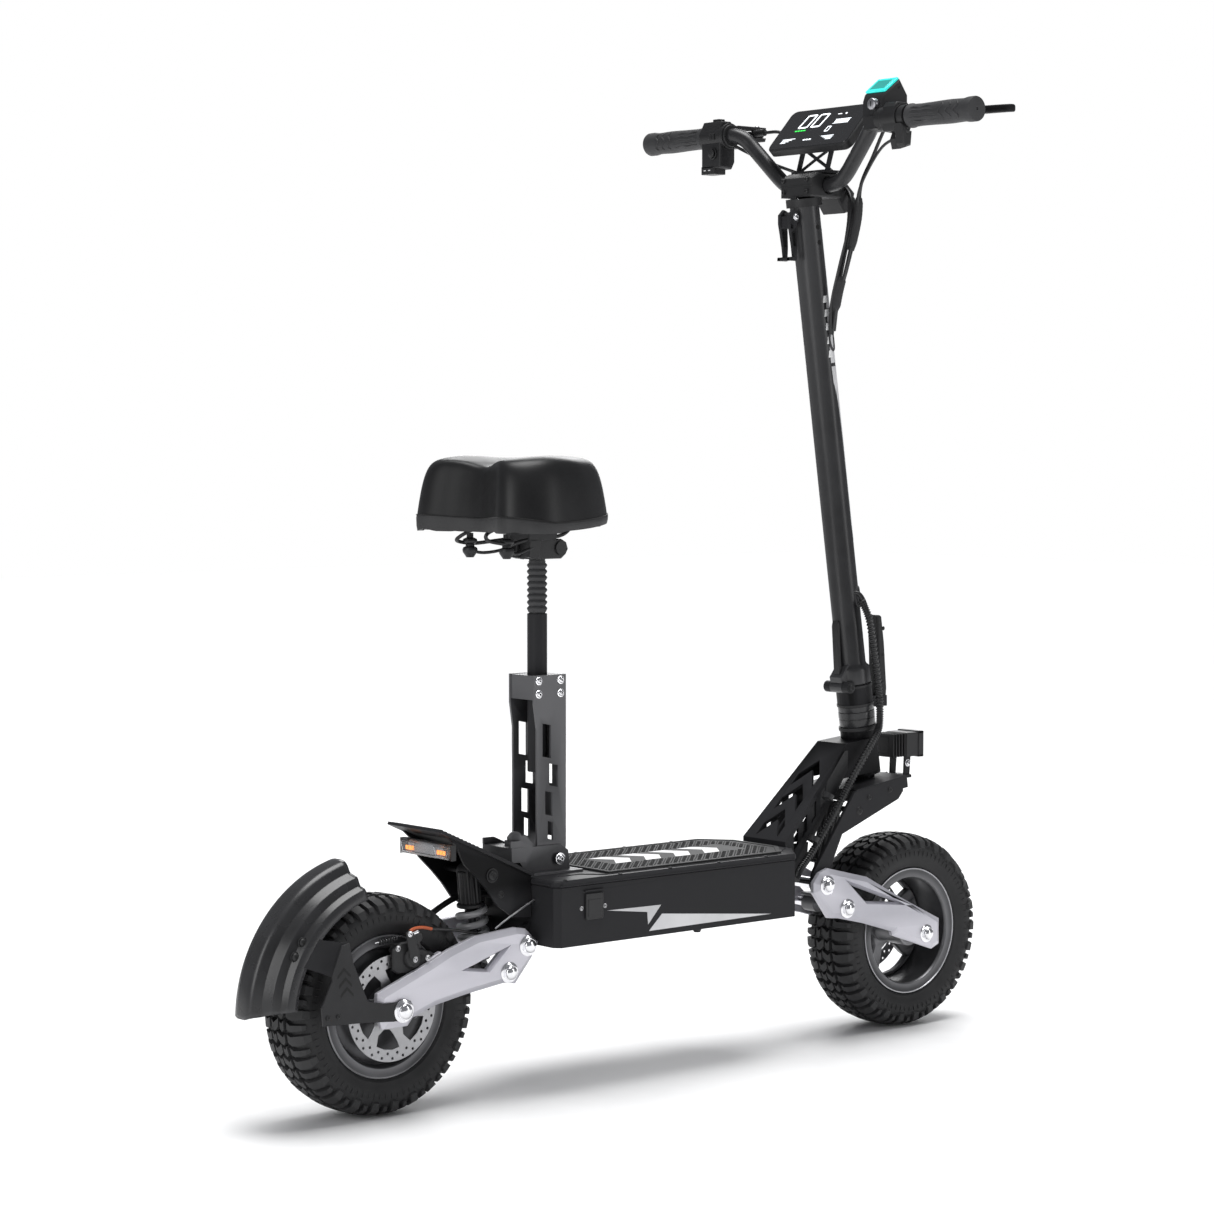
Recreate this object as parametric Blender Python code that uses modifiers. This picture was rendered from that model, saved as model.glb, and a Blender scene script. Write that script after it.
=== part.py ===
"""Electric kick scooter with a seat, as separate solids.

Every position below is measured from the rear axle along X (forward), from the middle plane
along Y (the rider's left) and from the floor along Z. The empty named scooter carries the whole
object to its own origin: the floor point under the middle of the object's box.
"""

import math

import bmesh
import bpy
from mathutils import Vector

# ---------------------------------------------------------------- driving dimensions (metres)
WHEELBASE = 0.969
TYRE_RADIUS = 0.145
TYRE_WIDTH = 0.091
FENDER_RADIUS = 0.200
AXLE_HEIGHT = TYRE_RADIUS
REAR_AXLE_X = -(WHEELBASE + TYRE_RADIUS - FENDER_RADIUS) / 2

BEAD_RADIUS = 0.0898
RIM_RADIUS = 0.0890
RIM_HALF_WIDTH = 0.0345
DISC_RADIUS = 0.070
DISC_Y = 0.0505
DISC_THICKNESS = 0.002
ARM_INNER_Y = 0.060
ARM_OUTER_Y = 0.073
AXLE_SHAFT_RADIUS = 0.0070
NUT_RADIUS = 0.0125
NUT_END_Y = 0.083
BRACKET_THICKNESS = 0.003

DECK_REAR_X = 0.232
DECK_FRONT_X = 0.704
DECK_SIDE_FRONT_X = 0.668
DECK_HALF_WIDTH = 0.105
DECK_NOSE_HALF_WIDTH = 0.059
DECK_BOTTOM_Z = 0.2045
DECK_SEAM_Z = 0.2850
DECK_TOP_Z = 0.2945
DECK_MAT_Z = 0.2960
WALL = 0.003
GAP = 0.0003

STEER_POINT = Vector((0.899, 0.0, 0.434))
STEER_LEAN = math.radians(8.45)
STEER_AXIS = Vector((-math.sin(STEER_LEAN), 0.0, math.cos(STEER_LEAN)))
STEM_RADIUS = 0.0215
FOLD_POINT = Vector((0.857, 0.0, 0.5155))
FOLD_KNUCKLE_RADIUS = 0.0085
STEM_TOP_Z = 1.229

BAR_RADIUS = 0.0111
BAR_CLAMP = Vector((0.800, 0.0, 1.250))
BAR_END = Vector((0.782, 0.341, 1.334))

REAR_PIVOT = Vector((0.208, 0.0, 0.2075))
REAR_CROSS = Vector((0.176, 0.0, 0.175))
REAR_SHOCK_TOP = Vector((0.1636, 0.0, 0.3035))
FRONT_PIVOT = Vector((0.763, 0.0, 0.2365))
FRONT_CROSS = Vector((0.804, 0.0, 0.1985))
FRONT_SHOCK_TOP = Vector((0.842, 0.0, 0.3375))
PIVOT_SHAFT_RADIUS = 0.0080
CROSS_SHAFT_RADIUS = 0.0060
SHOCK_PIN_RADIUS = 0.0040

MAST_PIVOT = Vector((0.294, 0.0, 0.3130))
MAST_POST_X = 0.283
MAST_HALF_WIDTH = 0.0275
MAST_PLATE = 0.0035
POST_RADIUS = 0.0136
POST_ROD_RADIUS = 0.0110
SADDLE_PIVOT = Vector((0.292, 0.0, 0.7370))
SADDLE_CENTRE = Vector((0.251, 0.0, 0.8110))
SADDLE_SIZE = Vector((0.228, 0.270, 0.0980))

LEVER_PIVOT_X = 0.842
LEVER_PIVOT_Y = 0.166
THROTTLE_Y = 0.199
KEY_POINT = Vector((0.7745, -0.1500, 1.3550))
KICKSTAND_PIVOT = Vector((0.470, 0.1125, 0.1940))
KICKSTAND_LENGTH = 0.185
FLAP_HINGE = Vector((0.2952, -0.1068, 0.2735))
HOOK_PIVOT = Vector((0.7530, 0.0, 1.2030))
LOCK_PIVOT = Vector((0.9350, 0.0, 0.4920))

# ---------------------------------------------------------------- colours: name -> (rgb, rough, metal)
FINISHES = {
    "black_paint": ((0.018, 0.018, 0.020), 0.42, 0.3),
    "dark_metal": ((0.060, 0.060, 0.064), 0.38, 0.8),
    "silver_paint": ((0.62, 0.61, 0.66), 0.32, 0.6),
    "steel": ((0.55, 0.55, 0.56), 0.28, 1.0),
    "chrome": ((0.75, 0.75, 0.76), 0.12, 1.0),
    "rubber": ((0.022, 0.022, 0.023), 0.78, 0.0),
    "tread": ((0.028, 0.028, 0.029), 0.82, 0.0),
    "plastic": ((0.024, 0.024, 0.026), 0.50, 0.0),
    "grey_coil": ((0.22, 0.22, 0.23), 0.40, 0.3),
    "leather": ((0.012, 0.012, 0.013), 0.48, 0.0),
    "glass": ((0.03, 0.03, 0.032), 0.10, 0.0),
    "lens": ((0.75, 0.76, 0.78), 0.08, 0.0),
    "aluminium": ((0.45, 0.45, 0.47), 0.35, 1.0),
    "battery": ((0.05, 0.16, 0.30), 0.55, 0.0),
}

# ---------------------------------------------------------------- moving bodies: name -> (parent, pivot)
BODIES = {
    "chassis": (None, Vector((0.0, 0.0, 0.0))),
    "charge_flap": ("chassis", FLAP_HINGE),
    "kickstand": ("chassis", KICKSTAND_PIVOT),
    "fork": ("chassis", STEER_POINT),
    "fold_lever": ("fork", LOCK_PIVOT),
    "stem": ("fork", FOLD_POINT),
    "stem_hook": ("stem", HOOK_PIVOT),
    "left_brake_lever": ("stem", Vector((LEVER_PIVOT_X, LEVER_PIVOT_Y, BAR_END.z + 0.006))),
    "right_brake_lever": ("stem", Vector((LEVER_PIVOT_X, -LEVER_PIVOT_Y, BAR_END.z + 0.006))),
    "thumb_throttle": ("stem", Vector((BAR_END.x, -THROTTLE_Y, BAR_END.z))),
    "key_barrel": ("stem", KEY_POINT),
    "horn_button": ("stem", Vector((BAR_END.x - 0.018, 0.180, BAR_END.z - 0.026))),
    "turn_switch": ("stem", Vector((BAR_END.x - 0.018, 0.180, BAR_END.z - 0.002))),
    "rear_arm": ("chassis", REAR_PIVOT),
    "rear_wheel": ("rear_arm", Vector((0.0, 0.0, AXLE_HEIGHT))),
    "rear_shock_body": ("chassis", REAR_SHOCK_TOP),
    "rear_shock_rod": ("rear_shock_body", REAR_CROSS),
    "front_arm": ("fork", FRONT_PIVOT),
    "front_wheel": ("front_arm", Vector((WHEELBASE, 0.0, AXLE_HEIGHT))),
    "front_shock_body": ("fork", FRONT_SHOCK_TOP),
    "front_shock_rod": ("front_shock_body", FRONT_CROSS),
    "seat_mast": ("chassis", MAST_PIVOT),
    "seat_post": ("seat_mast", Vector((MAST_POST_X, 0.0, 0.430))),
    "saddle_rod": ("seat_post", Vector((MAST_POST_X, 0.0, 0.560))),
    "saddle": ("saddle_rod", SADDLE_PIVOT),
}

for old in list(bpy.data.objects):
    bpy.data.objects.remove(old, do_unlink=True)

PARTS = bpy.data.collections.new("electric_kick_scooter")
CUTTERS = bpy.data.collections.new("cutters")
for collection in (PARTS, CUTTERS):
    bpy.context.scene.collection.children.link(collection)

EMPTIES = {}
MATERIALS = {}


# ---------------------------------------------------------------- helpers
def make_body_empties():
    """One empty at each joint, nested the way the bodies hang on each other."""
    scooter = bpy.data.objects.new("scooter", None)
    scooter.location = (REAR_AXLE_X, 0.0, 0.0)
    PARTS.objects.link(scooter)
    for name, (parent, pivot) in BODIES.items():
        empty = bpy.data.objects.new("body_" + name, None)
        PARTS.objects.link(empty)
        if parent is None:
            empty.parent = scooter
            empty.location = pivot
        else:
            empty.parent = EMPTIES[parent]
            empty.location = pivot - BODIES[parent][1]
        EMPTIES[name] = empty


def finish_material(name):
    """The Principled material of one finish, made once."""
    if name not in MATERIALS:
        colour, roughness, metallic = FINISHES[name]
        material = bpy.data.materials.new(name)
        material.use_nodes = True
        shader = material.node_tree.nodes["Principled BSDF"]
        shader.inputs["Base Color"].default_value = (*colour, 1.0)
        shader.inputs["Roughness"].default_value = roughness
        shader.inputs["Metallic"].default_value = metallic
        MATERIALS[name] = material
    return MATERIALS[name]


def add_part(obj, body, finish, smooth=True):
    """Files an object under its body with its finish; its shape stays where it was modelled."""
    PARTS.objects.link(obj)
    obj.data.materials.clear()
    obj.data.materials.append(finish_material(finish))
    obj.parent = EMPTIES[body]
    obj.location = obj.location - BODIES[body][1]
    if smooth and obj.type == "MESH":
        obj.data.set_sharp_from_angle(angle=math.radians(35))
    return obj


def add_cutter(obj):
    """A shape that only cuts or joins other shapes."""
    CUTTERS.objects.link(obj)
    obj.hide_render = True
    obj.display_type = "WIRE"
    # cutters follow the whole scooter, so they stay in step with the parts they shape
    obj.parent = bpy.data.objects["scooter"]
    return obj


def boolean(obj, other, operation):
    modifier = obj.modifiers.new(other.name, "BOOLEAN")
    modifier.object = other
    modifier.operation = operation
    modifier.solver = "EXACT"


def cut(obj, *others):
    for other in others:
        boolean(obj, add_cutter(other), "DIFFERENCE")
    return obj


def join(obj, *others):
    for other in others:
        boolean(obj, add_cutter(other), "UNION")
    return obj


def box(name, low, high):
    """A box between two corners."""
    mesh = bpy.data.meshes.new(name)
    cage = bmesh.new()
    bmesh.ops.create_cube(cage, size=1.0)
    low, high = Vector(low), Vector(high)
    for vertex in cage.verts:
        for axis in range(3):
            side = vertex.co[axis] + 0.5
            vertex.co[axis] = low[axis] + side * (high[axis] - low[axis])
    cage.to_mesh(mesh)
    cage.free()
    return bpy.data.objects.new(name, mesh)


def bevelled(obj, width, segments=1):
    modifier = obj.modifiers.new("edges", "BEVEL")
    modifier.width = width
    modifier.segments = segments
    modifier.limit_method = "ANGLE"
    modifier.angle_limit = math.radians(40)
    return obj


def rod(name, start, end, radius, sides=20, end_radius=None):
    """A cylinder, or a cone, from one point to another."""
    start, end = Vector(start), Vector(end)
    mesh = bpy.data.meshes.new(name)
    shape = bmesh.new()
    bmesh.ops.create_cone(
        shape,
        cap_ends=True,
        segments=sides,
        radius1=radius,
        radius2=radius if end_radius is None else end_radius,
        depth=(end - start).length,
    )
    shape.to_mesh(mesh)
    shape.free()
    obj = bpy.data.objects.new(name, mesh)
    obj.location = (start + end) / 2
    obj.rotation_mode = "QUATERNION"
    obj.rotation_quaternion = Vector((0, 0, 1)).rotation_difference(end - start)
    return obj


def along_y(name, point, radius, half_width, sides=20):
    """A cylinder through a point, along Y, between plus and minus a half width."""
    return rod(
        name,
        (point[0], -half_width, point[2]),
        (point[0], half_width, point[2]),
        radius,
        sides,
    )


def turned(name, profile, origin, axis, steps=32, closed=False):
    """A turned solid: profile is (radius, height) from the top of its outer side down."""
    mesh = bpy.data.meshes.new(name)
    outline = bmesh.new()
    points = [outline.verts.new((radius, 0.0, height)) for radius, height in profile]
    for first, second in zip(points, points[1:]):
        outline.edges.new((first, second))
    if closed:
        outline.edges.new((points[-1], points[0]))
    outline.to_mesh(mesh)
    outline.free()
    obj = bpy.data.objects.new(name, mesh)
    obj.location = Vector(origin)
    obj.rotation_mode = "QUATERNION"
    obj.rotation_quaternion = Vector((0, 0, 1)).rotation_difference(Vector(axis))
    screw = obj.modifiers.new("turn", "SCREW")
    screw.steps = steps
    screw.render_steps = steps
    screw.use_merge_vertices = True
    screw.merge_threshold = 0.00001
    screw.use_smooth_shade = True
    return obj


def circle(centre, radius, count=20):
    """Points round a circle in an outline's plane."""
    return [
        (
            centre[0] + radius * math.cos(2 * math.pi * i / count),
            centre[1] + radius * math.sin(2 * math.pi * i / count),
        )
        for i in range(count)
    ]


def outline_mesh(name, outlines, half_thickness):
    """A flat outline with holes, as a mesh in the XY plane, thick along Z."""
    data = bpy.data.curves.new(name, "CURVE")
    data.dimensions = "2D"
    data.fill_mode = "BOTH"
    data.extrude = half_thickness
    for outline in outlines:
        spline = data.splines.new("POLY")
        spline.points.add(len(outline) - 1)
        for point, (a, b) in zip(spline.points, outline):
            point.co = (a, b, 0.0, 1.0)
        spline.use_cyclic_u = True
    curve = bpy.data.objects.new(name + "_outline", data)
    bpy.context.scene.collection.objects.link(curve)
    graph = bpy.context.evaluated_depsgraph_get()
    mesh = bpy.data.meshes.new_from_object(curve.evaluated_get(graph))
    bpy.data.objects.remove(curve)
    shape = bmesh.new()
    shape.from_mesh(mesh)
    bmesh.ops.remove_doubles(shape, verts=shape.verts, dist=0.00001)
    bmesh.ops.recalc_face_normals(shape, faces=shape.faces)
    shape.to_mesh(mesh)
    shape.free()
    mesh.name = name
    return mesh


def side_plate(name, outlines, y_low, y_high):
    """An outline drawn in X and Z, thick along Y."""
    mesh = outline_mesh(name, outlines, (y_high - y_low) / 2)
    obj = bpy.data.objects.new(name, mesh)
    obj.rotation_euler = (math.pi / 2, 0.0, 0.0)
    obj.location = (0.0, (y_low + y_high) / 2, 0.0)
    return obj


def flat_plate(name, outlines, z_low, z_high):
    """An outline drawn in X and Y, thick along Z."""
    mesh = outline_mesh(name, outlines, (z_high - z_low) / 2)
    obj = bpy.data.objects.new(name, mesh)
    obj.location = (0.0, 0.0, (z_low + z_high) / 2)
    return obj


def tube(name, points, radius, sides_resolution=3, smooth_count=0):
    """A round tube along points; smooth_count points are read from a smooth curve through them."""
    points = [Vector(p) for p in points]
    if smooth_count:
        points = smooth_route(points, smooth_count)
    data = bpy.data.curves.new(name, "CURVE")
    data.dimensions = "3D"
    data.bevel_depth = radius
    data.bevel_resolution = sides_resolution
    data.use_fill_caps = True
    spline = data.splines.new("POLY")
    spline.points.add(len(points) - 1)
    for target, point in zip(spline.points, points):
        target.co = (*point, 1.0)
    return bpy.data.objects.new(name, data)


def smooth_route(points, count):
    """Points spaced along a Catmull-Rom curve through the given points."""
    ends = [points[0] * 2 - points[1]] + points + [points[-1] * 2 - points[-2]]
    spans = len(points) - 1
    route = []
    for i in range(count):
        place = i * spans / (count - 1)
        span = min(int(place), spans - 1)
        t = place - span
        a, b, c, d = ends[span : span + 4]
        route.append(
            0.5
            * (
                b * 2
                + (c - a) * t
                + (a * 2 - b * 5 + c * 4 - d) * t**2
                + (b * 3 - a - c * 3 + d) * t**3
            )
        )
    return route


def as_mesh(curve):
    """A curve object turned into a mesh with welded caps, so that it can be cut or joined."""
    bpy.context.scene.collection.objects.link(curve)
    graph = bpy.context.evaluated_depsgraph_get()
    mesh = bpy.data.meshes.new_from_object(curve.evaluated_get(graph))
    name = curve.name
    place = curve.matrix_world.copy()
    bpy.data.objects.remove(curve)
    shape = bmesh.new()
    shape.from_mesh(mesh)
    bmesh.ops.remove_doubles(shape, verts=shape.verts, dist=0.00001)
    shape.to_mesh(mesh)
    shape.free()
    obj = bpy.data.objects.new(name, mesh)
    obj.matrix_world = place
    return obj


def on_steer(height, back=0.0, side=0.0):
    """A point given along the steering axis, behind it and to the side of it."""
    backwards = Vector((-math.cos(STEER_LEAN), 0.0, -math.sin(STEER_LEAN)))
    return STEER_POINT + STEER_AXIS * height + backwards * back + Vector((0.0, side, 0.0))


# ---------------------------------------------------------------- wheels
def make_tyre(name, body, centre):
    half = TYRE_WIDTH / 2
    wall = 0.0080
    profile = [
        (BEAD_RADIUS, 0.0250),
        (BEAD_RADIUS, 0.0335),
        (0.0945, 0.0340),
        (0.1040, half - 0.0020),
        (0.1220, half),
        (0.1380, half - 0.0060),
        (TYRE_RADIUS, half - 0.0180),
        (TYRE_RADIUS, -half + 0.0180),
        (0.1380, -half + 0.0060),
        (0.1220, -half),
        (0.1040, -half + 0.0020),
        (0.0945, -0.0340),
        (BEAD_RADIUS, -0.0335),
        (BEAD_RADIUS, -0.0250),
        (0.1180, -half + wall),
        (TYRE_RADIUS - wall, -half + 0.0230),
        (TYRE_RADIUS - wall, half - 0.0230),
        (0.1180, half - wall),
    ]
    tyre = turned(name, profile, centre, (0, 1, 0), 32, closed=True)
    add_part(tyre, body, "tread", smooth=False)


def make_rear_wheel():
    centre = Vector((0.0, 0.0, AXLE_HEIGHT))
    make_tyre("rear_tyre", "rear_wheel", centre)
    bore = AXLE_SHAFT_RADIUS + GAP
    hub = [
        (bore, 0.0400),
        (0.0240, 0.0400),
        (0.0260, 0.0330),
        (0.0700, 0.0290),
        (0.0780, 0.0360),
        (0.0930, 0.0375),
        (0.0930, RIM_HALF_WIDTH + GAP),
        (RIM_RADIUS, RIM_HALF_WIDTH),
        (RIM_RADIUS, -RIM_HALF_WIDTH),
        (0.0930, -RIM_HALF_WIDTH - GAP),
        (0.0930, -0.0375),
        (0.0780, -0.0360),
        (0.0700, -0.0290),
        (0.0260, -0.0330),
        (0.0240, -DISC_Y + DISC_THICKNESS / 2 + GAP),
        (bore, -DISC_Y + DISC_THICKNESS / 2 + GAP),
    ]
    add_part(
        turned("rear_hub_motor", hub, centre, (0, 1, 0), 24, closed=True),
        "rear_wheel",
        "dark_metal",
        smooth=False,
    )
    make_disc("rear_disc", "rear_wheel", centre, -DISC_Y)


def make_disc(name, body, centre, y):
    """A brake disc: an outer band on five raked spokes round a hub ring."""
    place = (centre.x, centre.z)
    outlines = [circle(place, DISC_RADIUS, 40), circle(place, AXLE_SHAFT_RADIUS + 0.0010, 16)]
    for spoke in range(5):
        turn = 2 * math.pi * spoke / 5
        window = []
        for radius, angle in ((0.052, 8), (0.052, 30), (0.052, 52), (0.026, 34), (0.026, 10)):
            angle = math.radians(angle) + turn
            window.append(
                (place[0] + radius * math.cos(angle), place[1] + radius * math.sin(angle))
            )
        outlines.append(window)
    half = DISC_THICKNESS / 2
    add_part(side_plate(name, outlines, y - half, y + half), body, "steel")


def make_front_wheel():
    centre = Vector((WHEELBASE, 0.0, AXLE_HEIGHT))
    make_tyre("front_tyre", "front_wheel", centre)
    bore = AXLE_SHAFT_RADIUS + GAP
    rim = [
        (bore, DISC_Y - DISC_THICKNESS / 2 - GAP),
        (0.0210, DISC_Y - DISC_THICKNESS / 2 - GAP),
        (0.0210, 0.0300),
        (0.0780, 0.0250),
        (0.0800, 0.0365),
        (0.0930, 0.0375),
        (0.0930, RIM_HALF_WIDTH + GAP),
        (RIM_RADIUS, RIM_HALF_WIDTH),
        (RIM_RADIUS, -RIM_HALF_WIDTH),
        (0.0930, -RIM_HALF_WIDTH - GAP),
        (0.0930, -0.0375),
        (0.0830, -0.0365),
        (0.0800, 0.0150),
        (0.0210, 0.0180),
        (0.0210, -0.0400),
        (bore, -0.0400),
    ]
    wheel = turned("front_rim", rim, centre, (0, 1, 0), 26, closed=True)
    place = (centre.x, centre.z)
    for spoke in range(5):
        turn = 2 * math.pi * spoke / 5
        window = []
        for radius, angle in ((0.073, -26), (0.073, 0), (0.073, 26), (0.030, 18), (0.030, -18)):
            angle = math.radians(angle) + turn
            window.append(
                (place[0] + radius * math.cos(angle), place[1] + radius * math.sin(angle))
            )
        cut(wheel, side_plate(f"rim_window_{spoke}", [window], 0.005, 0.045))
    add_part(wheel, "front_wheel", "dark_metal", smooth=False)
    make_disc("front_disc", "front_wheel", centre, DISC_Y)


def bolt_profile(half_length, shaft_radius, head_radius, head_inner):
    """A through bolt seen from its middle plane outwards on both sides, domed at its ends."""
    dome = half_length - head_inner
    side = [
        (0.0, half_length),
        (head_radius * 0.65, half_length - dome * 0.15),
        (head_radius, half_length - dome * 0.58),
        (head_radius, head_inner),
        (shaft_radius, head_inner),
    ]
    return side + [(radius, -height) for radius, height in reversed(side)]


def make_through_bolt(name, body, point, shaft_radius, head_inner=ARM_OUTER_Y + GAP):
    profile = bolt_profile(NUT_END_Y, shaft_radius, NUT_RADIUS, head_inner)
    add_part(turned(name, profile, point, (0, 1, 0), 14), body, "chrome", smooth=False)


# ---------------------------------------------------------------- suspension arms and shocks
REAR_ARM_OUTLINE = [
    (0.191, 0.233), (0.124, 0.228), (0.079, 0.2145), (0.050, 0.202), (-0.035, 0.170),
    (-0.037, 0.150), (-0.028, 0.123), (0.012, 0.123), (0.021, 0.133), (0.056, 0.1445),
    (0.106, 0.153), (0.170, 0.161), (0.190, 0.158), (0.218, 0.190), (0.229, 0.210),
    (0.207, 0.230),
]
REAR_ARM_WINDOW = [(0.083, 0.181), (0.168, 0.212), (0.148, 0.185)]
FRONT_ARM_OUTLINE = [
    (0.770, 0.260), (0.753, 0.2545), (0.741, 0.241), (0.741, 0.2265), (0.771, 0.187),
    (0.790, 0.185), (0.842, 0.1725), (0.901, 0.1545), (0.903, 0.148), (0.985, 0.1195),
    (1.001, 0.126), (1.001, 0.164), (0.926, 0.200), (0.848, 0.2405),
]
FRONT_ARM_WINDOW = [(0.815, 0.2355), (0.842, 0.2050), (0.905, 0.191)]


def make_arms(prefix, body, outline, window, pivot, cross, axle):
    for side, sign in (("left", 1), ("right", -1)):
        low, high = sorted((sign * ARM_INNER_Y, sign * ARM_OUTER_Y))
        outlines = [
            outline,
            window,
            circle((pivot.x, pivot.z), PIVOT_SHAFT_RADIUS + GAP, 16),
            circle((cross.x, cross.z), CROSS_SHAFT_RADIUS + GAP, 14),
            circle((axle.x, axle.z), AXLE_SHAFT_RADIUS + GAP, 16),
        ]
        arm = side_plate(f"{prefix}_arm_{side}", outlines, low, high)
        add_part(arm, body, "silver_paint")


def make_shock(prefix, top, bottom, body_length, body_radius):
    """A damper: the upper body hangs on its pin, and the rod slides into it from below."""
    up = (top - bottom).normalized()
    eye_radius = 0.0105
    shell = rod(f"{prefix}_shock_body", top - up * 0.004, top - up * body_length, body_radius, 24)
    join(shell, along_y(f"{prefix}_body_eye", top, eye_radius, 0.0125, 20))
    cut(
        shell,
        along_y(f"{prefix}_pin_bore", top, SHOCK_PIN_RADIUS + 0.0004, 0.030, 20),
        rod(
            f"{prefix}_rod_bore",
            top - up * 0.022,
            top - up * (body_length + 0.01),
            0.0056,
            20,
        ),
    )
    add_part(shell, f"{prefix}_shock_body", "plastic")
    shaft = rod(f"{prefix}_shock_rod", bottom, top - up * (body_length - 0.022), 0.0050, 16)
    join(
        shaft,
        along_y(f"{prefix}_rod_eye", bottom, 0.0120, 0.0120, 20),
        rod(f"{prefix}_spring_seat", bottom + up * 0.0080, bottom + up * 0.0135, 0.0190, 20),
    )
    cut(shaft, along_y(f"{prefix}_cross_bore", bottom, CROSS_SHAFT_RADIUS + 0.0017, 0.030, 20))
    add_part(shaft, f"{prefix}_shock_rod", "dark_metal")


def make_spring(name, body, bottom, top, mean_radius, wire_radius, turns):
    """A coil spring round the line from bottom to top."""
    up = (top - bottom).normalized()
    side = Vector((0.0, 1.0, 0.0))
    across = side.cross(up)
    count = int(turns * 10)
    points = []
    for i in range(count + 1):
        angle = 2 * math.pi * turns * i / count
        centre = bottom + (top - bottom) * (i / count)
        points.append(centre + (across * math.cos(angle) + side * math.sin(angle)) * mean_radius)
    add_part(tube(name, points, wire_radius, 1), body, "grey_coil")


def make_rear_suspension():
    axle = Vector((0.0, 0.0, AXLE_HEIGHT))
    make_arms("rear", "rear_arm", REAR_ARM_OUTLINE, REAR_ARM_WINDOW, REAR_PIVOT, REAR_CROSS, axle)
    make_through_bolt("rear_pivot_shaft", "chassis", REAR_PIVOT, PIVOT_SHAFT_RADIUS)
    make_through_bolt("rear_cross_bolt", "rear_arm", REAR_CROSS, CROSS_SHAFT_RADIUS)
    washer_face = ARM_OUTER_Y + BRACKET_THICKNESS + 2 * GAP
    make_through_bolt("rear_axle", "rear_arm", axle, AXLE_SHAFT_RADIUS, washer_face)
    make_shock("rear", REAR_SHOCK_TOP, REAR_CROSS, 0.055, 0.0165)
    up = (REAR_SHOCK_TOP - REAR_CROSS).normalized()
    low = REAR_CROSS + up * 0.0185
    high = REAR_SHOCK_TOP - up * 0.0600
    make_spring("rear_spring", "rear_shock_body", low, high, 0.0180, 0.0038, 4.0)


def make_front_suspension():
    axle = Vector((WHEELBASE, 0.0, AXLE_HEIGHT))
    make_arms(
        "front", "front_arm", FRONT_ARM_OUTLINE, FRONT_ARM_WINDOW, FRONT_PIVOT, FRONT_CROSS, axle
    )
    make_through_bolt("front_pivot_shaft", "fork", FRONT_PIVOT, PIVOT_SHAFT_RADIUS)
    make_through_bolt("front_cross_bolt", "front_arm", FRONT_CROSS, CROSS_SHAFT_RADIUS)
    make_through_bolt("front_axle", "front_arm", axle, AXLE_SHAFT_RADIUS)
    make_shock("front", FRONT_SHOCK_TOP, FRONT_CROSS, 0.085, 0.0150)


# ---------------------------------------------------------------- rear fender, brackets, caliper
FENDER_SECTION = [
    (0.0560, 0.1520), (0.0550, 0.1665), (0.0440, 0.1690), (0.0410, 0.1800), (0.0230, 0.1840),
    (0.0195, 0.1950), (0.0150, FENDER_RADIUS), (-0.0150, FENDER_RADIUS), (-0.0195, 0.1950),
    (-0.0230, 0.1840), (-0.0410, 0.1800), (-0.0440, 0.1690), (-0.0550, 0.1665), (-0.0560, 0.1520),
]
FENDER_START = math.radians(103)
FENDER_END = math.radians(181)


def make_fender():
    """A stepped channel swept round the wheel's back: an open surface with thickness."""
    mesh = bpy.data.meshes.new("rear_fender")
    sheet = bmesh.new()
    rings = []
    steps = 11
    for i in range(steps + 1):
        angle = FENDER_START + (FENDER_END - FENDER_START) * i / steps
        rings.append(
            [
                sheet.verts.new(
                    (radius * math.cos(angle), y, AXLE_HEIGHT + radius * math.sin(angle))
                )
                for y, radius in FENDER_SECTION
            ]
        )
    for first, second in zip(rings, rings[1:]):
        for j in range(len(FENDER_SECTION) - 1):
            sheet.faces.new((first[j], first[j + 1], second[j + 1], second[j]))
    bmesh.ops.recalc_face_normals(sheet, faces=sheet.faces)
    sheet.faces.ensure_lookup_table()
    middle = sheet.faces[len(FENDER_SECTION) // 2 - 1]
    outward = middle.calc_center_median() - Vector((0.0, 0.0, AXLE_HEIGHT))
    if middle.normal.dot(outward) < 0:
        bmesh.ops.reverse_faces(sheet, faces=sheet.faces)
    sheet.to_mesh(mesh)
    sheet.free()
    fender = bpy.data.objects.new("rear_fender", mesh)
    shell = fender.modifiers.new("thickness", "SOLIDIFY")
    shell.thickness = 0.0025
    shell.offset = -1.0
    add_part(fender, "rear_arm", "plastic")


def make_fender_bracket(side, sign):
    """A plate from the axle up to the fender's side, joined to it by a bent flange."""
    low, high = sorted(
        (sign * (ARM_OUTER_Y + GAP), sign * (ARM_OUTER_Y + GAP + BRACKET_THICKNESS))
    )
    outline = [
        (0.012, 0.155), (-0.040, 0.158), (-0.064, 0.182), (-0.078, 0.215), (-0.0845, 0.243),
        (-0.0965, 0.240), (-0.1150, 0.2040), (-0.1120, 0.196), (-0.1280, 0.164), (-0.1260, 0.141),
        (-0.060, 0.138), (-0.016, 0.133), (0.012, 0.135),
    ]
    hole = circle((0.0, AXLE_HEIGHT), AXLE_SHAFT_RADIUS + GAP, 16)
    plate = side_plate(f"fender_bracket_{side}", [outline, hole], low, high)
    flange = flange_mesh(f"fender_flange_{side}", sign)
    join(plate, flange)
    add_part(plate, "rear_arm", "black_paint")


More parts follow.
